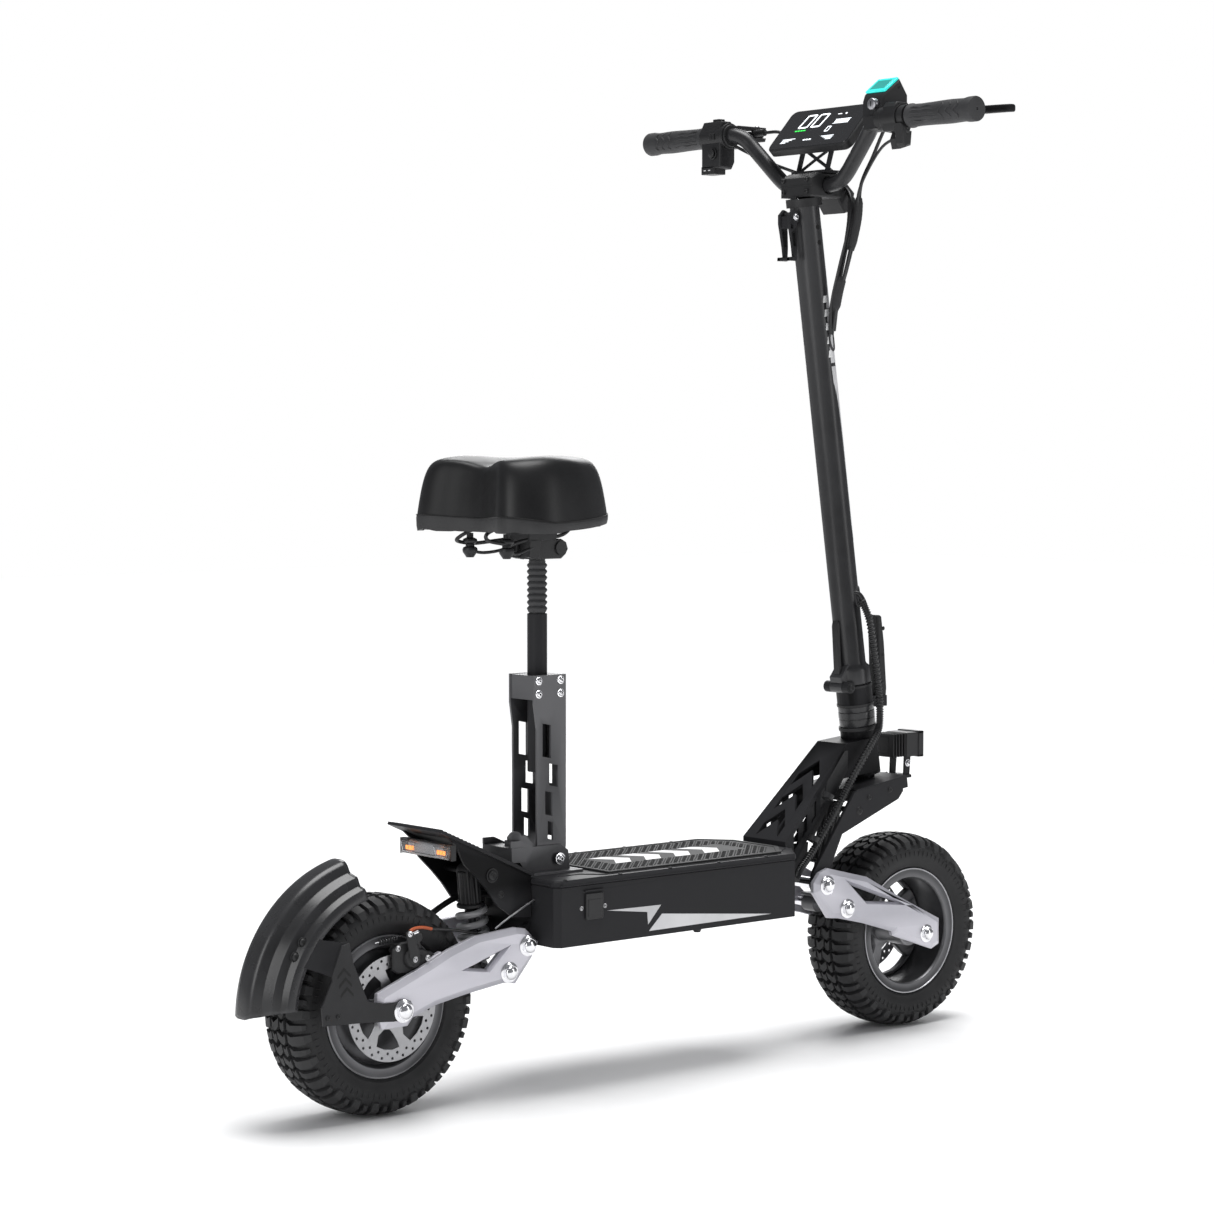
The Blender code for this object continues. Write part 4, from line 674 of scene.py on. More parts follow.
def rim_flange(side):
    """The flange and its rolled edge, from the web outwards to the bead seat."""
    return [
        (0.0745, side * 0.024), (0.077, side * 0.025), (0.079, side * 0.033),
        (0.08, side * 0.0362), (0.0812, side * 0.0372), (0.0915, side * 0.0376),
        (0.093, side * 0.0382), (0.0942, side * 0.0372), (0.0942, side * 0.0352),
        (0.089, side * 0.034),
    ]


def make_rear_wheel():
    """The driven wheel: tyre, hub motor with its bolted covers, and a drilled disc."""
    make_tyre("rear_tyre_knobby", "rear_tyre", "rear_wheel", REAR_AXLE)
    shape = bmesh.new()
    left = [(0.0076, 0.04), (0.024, 0.04), (0.027, 0.033), (0.06, 0.0285),
            (0.068, 0.027)] + rim_flange(1)
    right = [(0.0076, -0.049), (0.024, -0.049), (0.027, -0.033), (0.06, -0.0285),
             (0.068, -0.027)] + rim_flange(-1)
    add_turned(shape, left + list(reversed(right)), REAR_AXLE, (0, 1, 0), 96, closed=True)
    add_ring_of_bolts(shape, REAR_AXLE, 0.029, 1, 0.056, 9, 0.0032, 0.0026)
    add_ring_of_bolts(shape, REAR_AXLE, -0.029, -1, 0.056, 9, 0.0032, 0.0026)
    piece("rear_hub_motor_cast", shape, WHEEL_COAT, "rear_wheel", ("rear_hub_motor",),
          extra=(HOLE_SHADE_AND_DARK_TRIM,))
    make_disc("rear_disc_drilled", "rear_disc", "rear_wheel", REAR_AXLE, -0.0505)


def make_front_wheel():
    """The front wheel: tyre, see-through rim with five spokes, a bright ring on the lip that is
    painted highlight, and a disc.
    """
    make_tyre("front_tyre_knobby", "front_tyre", "front_wheel", FRONT_AXLE)
    shape = bmesh.new()
    flange = rim_flange(1)[2:] + list(reversed(rim_flange(-1)[2:]))
    barrel = flange + [(0.082, -0.03), (0.079, -0.018), (0.078, 0.01), (0.0775, 0.029)]
    add_turned(shape, barrel, FRONT_AXLE, (0, 1, 0), 96, closed=True)
    hub = [(0.0076, 0.049), (0.021, 0.049), (0.0225, 0.047), (0.0225, -0.038),
           (0.02, -0.04), (0.0076, -0.04)]
    add_turned(shape, hub, FRONT_AXLE, (0, 1, 0), 48, closed=True)
    place = (FRONT_AXLE.x, FRONT_AXLE.z)
    window = ((0.073, -27), (0.0735, -14), (0.0735, 0), (0.0735, 14), (0.073, 27),
              (0.06, 24), (0.034, 20), (0.028, 0), (0.034, -20), (0.06, -24))
    windows = [wheel_window(place, window, 72 * spoke) for spoke in range(5)]
    web = [circle(place, 0.0785, 96), circle(place, 0.02, 32), *windows]
    add_plate(shape, web, 0.0165, 0.0285, chamfer=0.0025)
    piece("front_rim_spoked", shape, WHEEL_COAT, "front_wheel", ("front_rim",))
    # The bright aluminium ring along the rim's lip is a painted highlight: it stands in for the
    # shine on the rim's edge.
    lip = bmesh.new()
    for side in (1, -1):
        add_turned(lip, [(0.0918, side * 0.0372), (0.0926, side * 0.0386), (0.0938, side * 0.0386),
                         (0.0944, side * 0.0372)], FRONT_AXLE, (0, 1, 0), 96, closed=True)
    piece("front_rim_lip_painted_highlight", lip, BARE_ALUMINIUM, "front_wheel")
    make_disc("front_disc_drilled", "front_disc", "front_wheel", FRONT_AXLE, 0.0505)


def make_disc(name, node, body, centre, y):
    """A drilled disc: two rows of holes in the band, six raked windows, a bolted hub ring."""
    place = (centre.x, centre.z)
    outlines = [circle(place, 0.07, 96), circle(place, 0.009, 24)]
    step = 2 * math.pi / 24
    for k in range(24):
        for radius, shift in ((0.0655, 0.0), (0.059, 0.5)):
            outlines.append(circle(polar(place, radius, (k + shift) * step), 0.0019, 8))
    window = ((0.0535, 2), (0.054, 16), (0.054, 30), (0.0525, 42), (0.044, 40),
              (0.034, 33), (0.0275, 22), (0.029, 4), (0.04, -4))
    outlines += [wheel_window(place, window, 60 * k) for k in range(6)]
    shape = bmesh.new()
    add_plate(shape, outlines, y - 0.001, y + 0.001, chamfer=0.0002)
    direction = 1 if y > 0 else -1
    add_ring_of_bolts(shape, centre, y + 0.001 * direction, direction, 0.0185, 6, 0.003, 0.0022)
    piece(name, shape, DISC_STEEL, body, (node,), extra=(HOLE_SHADE_AND_DARK_TRIM,))


# ---------------------------------------------------------------- suspension
REAR_ARM = [
    (0.191, 0.233), (0.124, 0.228), (0.079, 0.2145), (0.05, 0.202), (-0.035, 0.17),
    (-0.037, 0.15), (-0.028, 0.123), (0.012, 0.123), (0.021, 0.133), (0.056, 0.1445),
    (0.106, 0.153), (0.17, 0.161), (0.19, 0.158), (0.218, 0.19), (0.229, 0.21),
    (0.207, 0.23),
]
REAR_WINDOW = [(0.096, 0.186), (0.18, 0.212), (0.144, 0.1785)]
FRONT_ARM = [
    (0.77, 0.26), (0.753, 0.2545), (0.741, 0.241), (0.741, 0.2265), (0.771, 0.187),
    (0.79, 0.185), (0.842, 0.1725), (0.901, 0.1545), (0.903, 0.148), (0.985, 0.1195),
    (1.001, 0.126), (1.001, 0.164), (0.926, 0.2), (0.848, 0.2405),
]
FRONT_WINDOW = [(0.7985, 0.242), (0.844, 0.201), (0.94, 0.19)]


def make_arm_pair(prefix, body, outline, window):
    """Cast arms: a plate whose edges slope up to a raised face, with a funnel-shaped window."""
    opening = inset_triangle(window, 0.66)
    raised = inset_outline(outline, 0.0078)
    shoulder_y = ARM_OUTER_Y - 0.0052
    for side, sign in SIDES:
        shape = bmesh.new()

        def lifted(points, y):
            return [Vector((x, sign * y, z)) for x, z in points]

        add_side_plate(shape, [outline, opening], sign, ARM_INNER_Y, shoulder_y, chamfer=0.0012)
        add_rings(shape, [lifted(outline, shoulder_y), lifted(raised, ARM_OUTER_Y)], caps=False)
        add_side_plate(shape, [raised, window], sign, ARM_OUTER_Y - 0.0006, ARM_OUTER_Y)
        add_rings(shape, [lifted(window, ARM_OUTER_Y), lifted(opening, shoulder_y - 0.001)],
                  caps=False)
        node = f"{prefix}_arm_{side}"
        piece(node + "_cast", shape, SILVER_COAT, body, (node,), smooth_angle=8.0)


def make_through_bolt(node, body, point, shaft_radius, face_y, radius=0.0112):
    """A shaft across the arms with a polished domed nut at each end."""
    shape = bmesh.new()
    add_rod(shape, point + Vector((0, -face_y, 0)), point + Vector((0, face_y, 0)), shaft_radius)
    for sign in (1, -1):
        add_hex_nut(shape, point + Vector((0, sign * face_y, 0)), (0, sign, 0), radius, 0.01)
    piece(node + "_polished", shape, CHROME, body, (node,))


def make_shock(prefix, top, bottom, body_length, body_radius, flutes):
    """The fluted damper body with its collar, its rod with the spring's seat, and two eyes."""
    up = (top - bottom).normalized()
    shape = bmesh.new()
    add_fluted(shape, top + up * 0.002, top - up * (body_length - 0.004), body_radius, flutes, 0.1)
    collar = top - up * body_length
    add_turned(
        shape,
        [(0.0, 0.005), (body_radius * 1.18, 0.005), (body_radius * 1.24, 0.004),
         (body_radius * 1.24, 0.001), (body_radius * 1.14, 0.0), (0.009, 0.0), (0.009, -0.01),
         (0.0, -0.01)],
        collar, up, 40,
    )
    add_rod(shape, top - Vector((0, 0.0125, 0)), top + Vector((0, 0.0125, 0)), 0.0105, 32)
    piece(f"{prefix}_shock_fluted", shape, MOULDED, f"{prefix}_shock_body",
          (f"{prefix}_shock_body",), smooth_angle=25.0)
    shape = bmesh.new()
    add_rod(shape, bottom, top - up * (body_length - 0.01), 0.0055)
    add_rod(shape, bottom - Vector((0, 0.012, 0)), bottom + Vector((0, 0.012, 0)), 0.012, 32)
    add_turned(
        shape,
        [(0.0, 0.014), (0.017, 0.014), (0.0205, 0.0125), (0.0205, 0.0095), (0.0165, 0.008),
         (0.0, 0.008)],
        bottom, up, 40,
    )
    piece(f"{prefix}_shock_rod_turned", shape, DARK_COAT, f"{prefix}_shock_rod",
          (f"{prefix}_shock_rod",))


def make_rear_spring():
    up = (REAR_SHOCK_TOP - REAR_CROSS).normalized()
    side = Vector((0.0, 1.0, 0.0))
    across = side.cross(up)
    low = REAR_CROSS + up * 0.018
    high = REAR_SHOCK_TOP - up * 0.0475
    turns, steps, mean_radius = 4.2, 40, 0.018
    count = int(turns * steps)
    route = []
    for i in range(count + 1):
        angle = 2 * math.pi * turns * i / count
        centre = low + (high - low) * (i / count)
        route.append(centre + (across * math.cos(angle) + side * math.sin(angle)) * mean_radius)
    shape = bmesh.new()
    add_tube(shape, route, 0.0045, 14)
    spring = piece("rear_coil_spring", shape, COIL, "rear_shock_body", ("rear_spring",))
    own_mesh(spring)


def make_suspension():
    make_arm_pair("rear", "rear_arm", REAR_ARM, REAR_WINDOW)
    make_arm_pair("front", "front_arm", FRONT_ARM, FRONT_WINDOW)
    make_through_bolt("rear_pivot_shaft", "chassis", REAR_PIVOT, 0.008, ARM_OUTER_Y)
    make_through_bolt("rear_cross_bolt", "rear_arm", REAR_CROSS, 0.006, ARM_OUTER_Y)
    make_through_bolt("rear_axle", "rear_arm", REAR_AXLE, 0.007, ARM_OUTER_Y + 0.0035, 0.0122)
    make_through_bolt("front_pivot_shaft", "fork", FRONT_PIVOT, 0.008, ARM_OUTER_Y)
    make_through_bolt("front_cross_bolt", "front_arm", FRONT_CROSS, 0.006, ARM_OUTER_Y)
    make_through_bolt("front_axle", "front_arm", FRONT_AXLE, 0.007, ARM_OUTER_Y, 0.0105)
    make_shock("rear", REAR_SHOCK_TOP, REAR_CROSS, 0.048, 0.0155, 14)
    make_shock("front", Vector((0.842, 0.0, 0.3375)), FRONT_CROSS, 0.085, 0.0145, 14)
    make_rear_spring()


# ---------------------------------------------------------------- fender, brackets, caliper
FENDER_HALF = [
    (0.0562, 0.152), (0.056, 0.1575), (0.0552, 0.165), (0.0535, 0.1668), (0.044, 0.169),
    (0.0428, 0.1705), (0.0412, 0.1795), (0.0395, 0.1812), (0.024, 0.184), (0.0226, 0.1855),
    (0.0198, 0.194), (0.0182, 0.1958), (0.015, 0.1985), (0.008, 0.1996),
]
FENDER_START = math.radians(103.5)
FENDER_END = math.radians(180.0)


def fender_point(across, radius, angle):
    return Vector((radius * math.cos(angle), across, TYRE_RADIUS + radius * math.sin(angle)))


def make_fender():
    """A stepped channel round the wheel, with pointed ends, thickened inwards."""
    section = FENDER_HALF + [(-y, r) for y, r in reversed(FENDER_HALF)]
    rings = []
    steps = 48
    for i in range(steps + 1):
        ring = []
        for across, radius in section:
            edge = abs(across) / 0.056
            start = FENDER_START + math.radians(2.0) * edge
            end = FENDER_END - math.radians(5.0) * edge
            outer = min(radius, FENDER_RADIUS)
            ring.append(fender_point(across, outer, start + (end - start) * i / steps))
        rings.append(ring)
    shape = bmesh.new()
    add_rings(shape, rings, closed_rings=False, caps=False)
    shape.normal_update()
    for face in shape.faces:
        outward = face.calc_center_median() - REAR_AXLE
        outward.y *= 0.2
        if face.normal.dot(outward) < 0:
            face.normal_flip()
    fender = mesh_object("rear_fender_shell", shape, (FENDER_PLASTIC,), 50.0)
    shell = fender.modifiers.new("thickness", "SOLIDIFY")
    shell.thickness = 0.0026
    shell.offset = -1.0
    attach(fender, "rear_arm")
    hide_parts("rear_fender")


BRACKET = [
    (0.012, 0.157), (-0.03, 0.158), (-0.056, 0.164), (-0.064, 0.182), (-0.078, 0.215),
    (-0.085, 0.2425), (-0.0965, 0.24), (-0.112, 0.203), (-0.112, 0.196), (-0.128, 0.164),
    (-0.126, 0.14), (-0.06, 0.137), (-0.016, 0.133), (0.012, 0.134),
]


def make_fender_bracket(side, sign):
    """A bent plate from the axle up to the fender, with a stepped tab and two button bolts."""
    shape = bmesh.new()
    inner, thick = ARM_OUTER_Y + 0.0004, 0.003
    add_side_plate(shape, [BRACKET], sign, inner, inner + thick, chamfer=0.0005)
    add_rod(shape, (0, sign * inner, TYRE_RADIUS), (0, sign * (inner + thick), TYRE_RADIUS), 0.015)
    half_tab = 0.0013
    rings = []
    for (ax, az), (bx, bz), y in (
        ((-0.086, 0.242), (-0.112, 0.202), inner + 0.0015),
        ((-0.113, 0.2465), (-0.137, 0.2125), 0.0585),
        ((-0.126, 0.249), (-0.148, 0.218), 0.048),
    ):
        rings.append([Vector((x, sign * (y + step), z)) for x, z, step in (
            (ax, az, -half_tab), (bx, bz, -half_tab), (bx, bz, half_tab), (ax, az, half_tab))])
    add_rings(shape, rings)
    node = f"fender_bracket_{side}"
    piece(node + "_bent", shape, BRACKET_COAT, "rear_arm", (node,), smooth_angle=20.0)
    out = (0, sign, 0)
    bolts = [((x, sign * 0.047, z), out, 0.0052, 0.004)
             for x, z in ((-0.137, 0.245), (-0.1485, 0.2275))]
    bolts += [((x, sign * (inner + thick), 0.15), out, 0.003, 0.0024)
              for x in (-0.119, -0.103)]
    bolt_piece(f"fender_bolts_{side}", bolts, MOULDED, "rear_arm")
    marks = bmesh.new()
    for k in range(3):
        x, z = -0.089 - 0.0022 * k, 0.179 + 0.0125 * k
        chevron = [(x, z + 0.008), (x + 0.01, z - 0.002), (x + 0.01, z - 0.006),
                   (x, z + 0.0035), (x - 0.01, z - 0.006), (x - 0.01, z - 0.002)]
        add_side_plate(marks, [chevron], sign, inner + 0.0028, inner + 0.0032)
    piece(f"bracket_marks_{side}", marks, HOLE_SHADE_AND_DARK_TRIM, "rear_arm")


def make_caliper():
    """The rear caliper: a split body over the disc, its adjuster, lever arm, boot and cable."""
    shape = bmesh.new()
    outer_half = [(-0.004, 0.196), (0.004, 0.19), (0.044, 0.19), (0.052, 0.199), (0.052, 0.216),
                  (0.04, 0.22), (0.036, 0.231), (0.01, 0.231), (-0.004, 0.222)]
    inner_half = [(0.002, 0.192), (0.046, 0.192), (0.046, 0.226), (0.002, 0.226)]
    roof = [(0.0, 0.218), (0.048, 0.218), (0.044, 0.228), (0.004, 0.228)]
    lever_arm = [(0.012, 0.2435), (0.018, 0.247), (0.024, 0.244), (0.034, 0.214),
                 (0.03, 0.204), (0.022, 0.204), (0.018, 0.212)]
    cable_fork = [(0.03, 0.238), (0.042, 0.24), (0.044, 0.233), (0.036, 0.224),
                  (0.03, 0.228)]
    bridge = [(0.044, 0.214), (0.06, 0.214), (0.072, 0.204), (0.068, 0.198), (0.048, 0.202)]
    for outline, low, high, chamfer in (
        (outer_half, -0.059, -0.0532, 0.0018), (roof, -0.0545, -0.042, 0.0018),
        (inner_half, -0.0478, -0.0415, 0.0018), (lever_arm, -0.0668, -0.0636, 0.0008),
        (cable_fork, -0.06, -0.05, 0.001), (bridge, -0.056, -0.05, 0.001),
    ):
        add_plate(shape, [outline], low, high, chamfer=chamfer)
    add_turned(shape, [(0.0, 0.0085), (0.006, 0.008), (0.0085, 0.006), (0.0105, 0.0055),
                       (0.0125, 0.003), (0.013, 0.0), (0.0, 0.0)],
               (0.026, -0.0588, 0.208), (0, -1, 0), 32)
    coil = [(0.0022, 0.001), (0.0034, 0.0004), (0.0034, -0.0004), (0.0022, -0.001)]
    for k in range(7):
        add_turned(shape, coil, (-0.022 + 0.0042 * k, -0.055, 0.2345 + 0.0004 * k),
                   (1.0, 0.0, 0.12), 16, closed=True)
    piece("rear_caliper_cast", shape, CAST_BLACK, "rear_arm", ("rear_caliper",))
    bright = bmesh.new()
    add_rod(bright, (-0.03, -0.055, 0.234), (0.016, -0.055, 0.239), 0.001, 10)
    add_cap_bolt(bright, (0.018, -0.0668, 0.242), (0, -1, 0), 0.003, 0.0026, 16)
    add_rod(bright, (0.03, -0.056, 0.24), (0.038, -0.056, 0.2416), 0.0026, 12)
    piece("rear_caliper_fittings", bright, CHROME, "rear_arm", extra=(HOLE_SHADE_AND_DARK_TRIM,))
    spots = ((0.004, -0.0592, 0.2235), (0.046, -0.0672, 0.208), (0.026, -0.0672, 0.208))
    bolt_piece("rear_caliper_bolts", [(spot, (0, -1, 0), 0.003, 0.0026, 16) for spot in spots],
               STEEL, "rear_arm")
    tube_piece("brake_cable_boot",
               [(0.019, -0.058, 0.2405), (0.033, -0.053, 0.2455), (0.05, -0.05, 0.2455),
                (0.065, -0.05, 0.242)], 24, 0.0021, 12, ORANGE_BOOT, "rear_arm")
    tube_piece("rear_brake_cable",
               [(0.065, -0.05, 0.242), (0.1, -0.05, 0.237), (0.13, -0.048, 0.23),
                (0.16, -0.044, 0.223), (0.186, -0.04, 0.22)], 28, 0.002, 10,
               CABLE_SKIN, "rear_arm")
    mount = [(0.05, 0.2), (0.062, 0.208), (0.074, 0.212), (0.078, 0.202),
             (0.066, 0.19), (0.054, 0.188)]
    plate_piece("caliper_mount", [(mount, -0.06, -0.05, 0.0015)], SILVER_COAT, "rear_arm")


# ---------------------------------------------------------------- deck
def make_deck():
    """The deck's carried-over nodes, its mat, ridges, sides and the charging flap."""
    for node, material, bevel in (
        ("deck_tray", POWDER_COAT, 0.0), ("deck_cover", POWDER_COAT, 0.0),
        ("battery_pack", BATTERY_WRAP, 0.0), ("motor_controller", BARE_ALUMINIUM, 0.0),
        ("kickstand", POWDER_COAT, 0.0008),
    ):
        dress(node, material, bevel)
    make_deck_mat()
    ridges = bmesh.new()
    for sign in (1, -1):
        route = [(0.262, 0.07), (0.3, 0.07), (0.325, 0.094), (0.42, 0.094), (0.445, 0.0975),
                 (0.64, 0.0975), (0.692, 0.058)]
        add_tube(ridges, [(x, sign * y, DECK_TOP_Z) for x, y in route], BEAD_RADIUS, 8)
    piece("deck_cover_ridges", ridges, POWDER_COAT, "chassis")
    make_deck_sides()
    flap = [(0.28, 0.2405), (0.282, 0.2385), (0.3085, 0.2385), (0.3105, 0.2405),
            (0.3105, 0.274), (0.28, 0.274)]
    panel = [(0.2835, 0.243), (0.307, 0.243), (0.307, 0.266), (0.2835, 0.266)]
    plate_piece("charge_flap_rubber",
                [(flap, -0.1085, -0.1055, 0.0008), (panel, -0.1092, -0.108, 0.0005)],
                MOULDED, "charge_flap", ("charge_flap",))


def make_deck_mat():
    """The foot mat: a rimmed sheet, a field of crossed studs and four plain chevrons."""
    mat_top = DECK_MAT_Z + 0.0004
    mat = bmesh.new()
    plan = [(0.335, 0.09), (0.655, 0.09), (0.69, 0.047), (0.69, -0.047), (0.655, -0.09),
            (0.335, -0.09)]
    inner = [(0.342, 0.083), (0.651, 0.083), (0.683, 0.044), (0.683, -0.044), (0.651, -0.083),
             (0.342, -0.083)]
    add_plate(mat, [plan], DECK_TOP_Z - 0.0002, mat_top, axis="Z", chamfer=0.0004)
    add_plate(mat, [plan, inner], DECK_MAT_Z, mat_top + 0.001, axis="Z", chamfer=0.0005)
    piece("deck_mat", mat, MAT_RUBBER, "chassis")
    studs = bmesh.new()
    rows, columns, pitch = 21, 44, 0.0074
    for i in range(columns):
        for j in range(rows):
            x = 0.35 + i * pitch
            y = (j - (rows - 1) / 2) * pitch
            past_corner = x > 0.64 and abs(y) > 0.08 - (x - 0.64) * 1.05
            under_marks = abs(y) < 0.036 and 0.392 < x < 0.64
            if past_corner or under_marks:
                continue
            lean = math.pi / 4 * (1 if (i + j) % 2 else -1)
            turn = Matrix.Translation((x, y, mat_top - 0.0001)) @ Matrix.Rotation(lean, 4, "Z")
            add_box(studs, (-0.0026, -0.0008, 0.0), (0.0026, 0.0008, 0.001), turn)
    piece("deck_mat_treads", studs, MAT_RUBBER, "chassis")
    marks = bmesh.new()
    for k in range(4):
        x = 0.42 + k * 0.055
        for sign in (1, -1):
            bar = [(x, 0.0), (x + 0.028, 0.0), (x + 0.006, sign * 0.03), (x - 0.022, sign * 0.03)]
            add_plate(marks, [bar], mat_top, mat_top + 0.0003, axis="Z")
    piece("deck_mat_marks", marks, WHITE_PRINT, "chassis")


def make_deck_sides():
    """Printed stripes, cover screws and the rounded lip along the deck's sides."""
    side_y, ink_depth = 0.105, 0.0001
    silver = [(0.319, 0.2475), (0.4155, 0.246), (0.392, 0.221), (0.3905, 0.2385)]
    pale = [(0.4172, 0.2335), (0.6215, 0.213), (0.3937, 0.212)]
    for name, stripe, ink in (("dark", silver, SILVER_PRINT), ("pale", pale, PALE_PRINT)):
        shape = bmesh.new()
        for sign in (-1, 1):
            add_side_plate(shape, [stripe], sign, side_y - ink_depth, side_y + 3 * ink_depth)
        piece(f"deck_stripe_{name}", shape, ink, "chassis")
    bolt_piece("deck_screws", [((x, -side_y, 0.2545), (0, -1, 0), 0.0024, 0.0018, 16)
                               for x in (0.2745, 0.3155)], STEEL, "chassis")
    bolt_piece("deck_cover_screws",
               [((x, y, DECK_TOP_Z - 0.0002), (0, 0, 1), 0.003, 0.0016, 14)
                for y in (0.1015, -0.1015) for x in (0.249, 0.345, 0.435, 0.525, 0.615)],
               MOULDED, "chassis")
    plug = bmesh.new()
    add_rod(plug, (0.4923, -0.093, 0.205), (0.4923, -0.093, 0.199), 0.0075, 24, 0.0045)
    piece("deck_drain_plug", plug, MOULDED, "chassis")
    edge = bmesh.new()
    for sign in (-1, 1):
        route = [(0.236, 0.1066), (0.667, 0.1066), (0.7052, 0.06)]
        add_tube(edge, [(x, sign * y, 0.2872) for x, y in route], BEAD_RADIUS, 8)
    piece("deck_cover_bead", edge, POWDER_COAT, "chassis")


# ---------------------------------------------------------------- neck, tail, tail light
def make_neck():
    """The neck with its headset cup, side bolts, dark inner plates and cable clips."""
    dress("neck_frame", POWDER_COAT)
    lip = bmesh.new()
    add_turned(lip, [(0.0192, 0.0232), (0.0282, 0.0232), (0.0286, 0.0215), (0.0286, 0.018),
                     (0.027, 0.0165), (0.0192, 0.0165)], STEER_POINT, STEER_AXIS, 64, closed=True)
    piece("headset_cup", lip, CAST_BLACK, "chassis")
    bolt_piece("neck_bolts", [((0.716, sign * 0.045, z), (0, sign, 0), 0.0042, 0.003, 20)
                              for sign in (1, -1) for z in (0.262, 0.288)], MOULDED, "chassis")
    upper = [(0.728, 0.298), (0.77, 0.298), (0.842, 0.396), (0.842, 0.424),
             (0.836, 0.424)]
    lower = [(0.707, 0.25), (0.707, 0.296), (0.762, 0.296), (0.76, 0.276),
             (0.742, 0.25)]
    plate_piece("neck_liner", [(outline, -0.0342, -0.033, 0.0) for outline in (upper, lower)],
                MOULDED, "chassis")
    grip = bmesh.new()
    for x, z in ((0.785, 0.362), (0.756, 0.302)):
        add_turned(grip, [(0.0054, 0.004), (0.0082, 0.004), (0.0082, -0.004), (0.0054, -0.004)],
                   (x, -0.0515, z), (0.55, 0.0, 0.83), 24, closed=True)
    piece("loom_clips", grip, MOULDED, "chassis")


def make_tail():
    """The foot plate over the rear wheel, its ribbed mat, bolts, light and cables."""
    dress("tail_frame", POWDER_COAT)
    rear, front = Vector((0.074, 0.0, 0.3725)), Vector((0.232, 0.0, 0.301))
    slope = math.atan2(front.z - rear.z, front.x - rear.x)
    turn = Matrix.Translation(rear) @ Matrix.Rotation(-slope, 4, "Y")
    mat = bmesh.new()
    end = (front - rear).length - 0.012
    plan = [(0.003, 0.054), (end, 0.054), (end, -0.054), (0.003, -0.054)]
    add_plate(mat, [plan], 0.0, 0.001, axis="Z", chamfer=0.0003, turn=turn)
    for k in range(20):
        x = 0.008 + k * 0.0072
        add_box(mat, (x, -0.05, 0.0008), (x + 0.0028, 0.05, 0.0022), turn)
    piece("tail_mat", mat, MAT_RUBBER, "chassis")
    bolts = []
    for sign in (1, -1):
        spot = REAR_SHOCK_TOP + Vector((0, sign * 0.053, 0))
        bolts.append((spot, (0, sign, 0), 0.0075, 0.005, 28))
        bolts.append(((0.179, sign * 0.052, 0.2765), (0, sign, 0), 0.004, 0.002, 20))
    bolt_piece("tail_bolts", bolts, MOULDED, "chassis")
    make_tail_light()
    tube_piece("motor_cable",
               [(0.04, 0.035, 0.21), (0.085, 0.034, 0.225), (0.125, 0.032, 0.246),
                (0.165, 0.03, 0.264), (0.205, 0.03, 0.266), (0.234, 0.03, 0.26)],
               36, 0.0042, 12, CABLE_SKIN, "chassis")
    tube_piece("brake_inner_cable",
               [(0.166, -0.056, 0.2325), (0.19, -0.057, 0.246), (0.232, -0.057, 0.265)],
               16, 0.0014, 8, STEEL, "chassis")


def make_tail_light():
    """A clear lens with bevelled ends over a dark tray, a reflector and two amber lamps."""
    low, high = (Vector(corner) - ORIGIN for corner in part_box("tail_light"))
    half_y, mid_z = high.y, (low.z + high.z) / 2
    half_z = (high.z - low.z) / 2
    back, front = high.x, low.x
    tray = bmesh.new()
    add_box(tray, (back - 0.003, -half_y, low.z), (back, half_y, high.z))
    for end in (half_y, -half_y):
        add_box(tray, (back - 0.009, end - 0.0012, low.z), (back - 0.002, end, high.z))
    piece("tail_light_tray", tray, MOULDED, "chassis", ("tail_light",))
    box_piece("tail_light_reflector", (back - 0.0045, -half_y + 0.018, mid_z - 0.006),
              (back - 0.003, half_y - 0.018, mid_z + 0.006), DISC_STEEL, "chassis")
    lamps = bmesh.new()
    for sign in (1, -1):
        for k in range(3):
            y = sign * (0.028 + 0.0065 * k)
            add_box(lamps, (back - 0.006, y - 0.0026, mid_z - 0.0042),
                    (back - 0.004, y + 0.0026, mid_z + 0.0016))
    piece("tail_light_lamps", lamps, AMBER, "chassis", bevel=0.0006)
    rings = []
    for x, inset in ((back - 0.0028, 0.0), (front + 0.0025, 0.0012), (front, 0.004)):
        y, z = half_y - inset, half_z - inset
        rings.append([Vector((x, sy * y, mid_z + sz * z))
                      for sy, sz in ((-1, -1), (1, -1), (1, 1), (-1, 1))])
    lens = bmesh.new()
    add_rings(lens, rings)
    piece("tail_light_lens", lens, CLEAR, "chassis", bevel=0.0008)
    ribs = bmesh.new()
    x = front + 0.003
    corners = [(0.026, -0.006), (0.02, 0.006), (0.052, 0.006), (0.048, -0.006), (0.026, -0.006)]
    for sign in (1, -1):
        for (y1, z1), (y2, z2) in zip(corners, corners[1:]):
            add_rod(ribs, (x, sign * y1, mid_z + z1), (x, sign * y2, mid_z + z2), 0.0005, 8)
    piece("tail_light_ribs", ribs, REFLECTOR, "chassis")


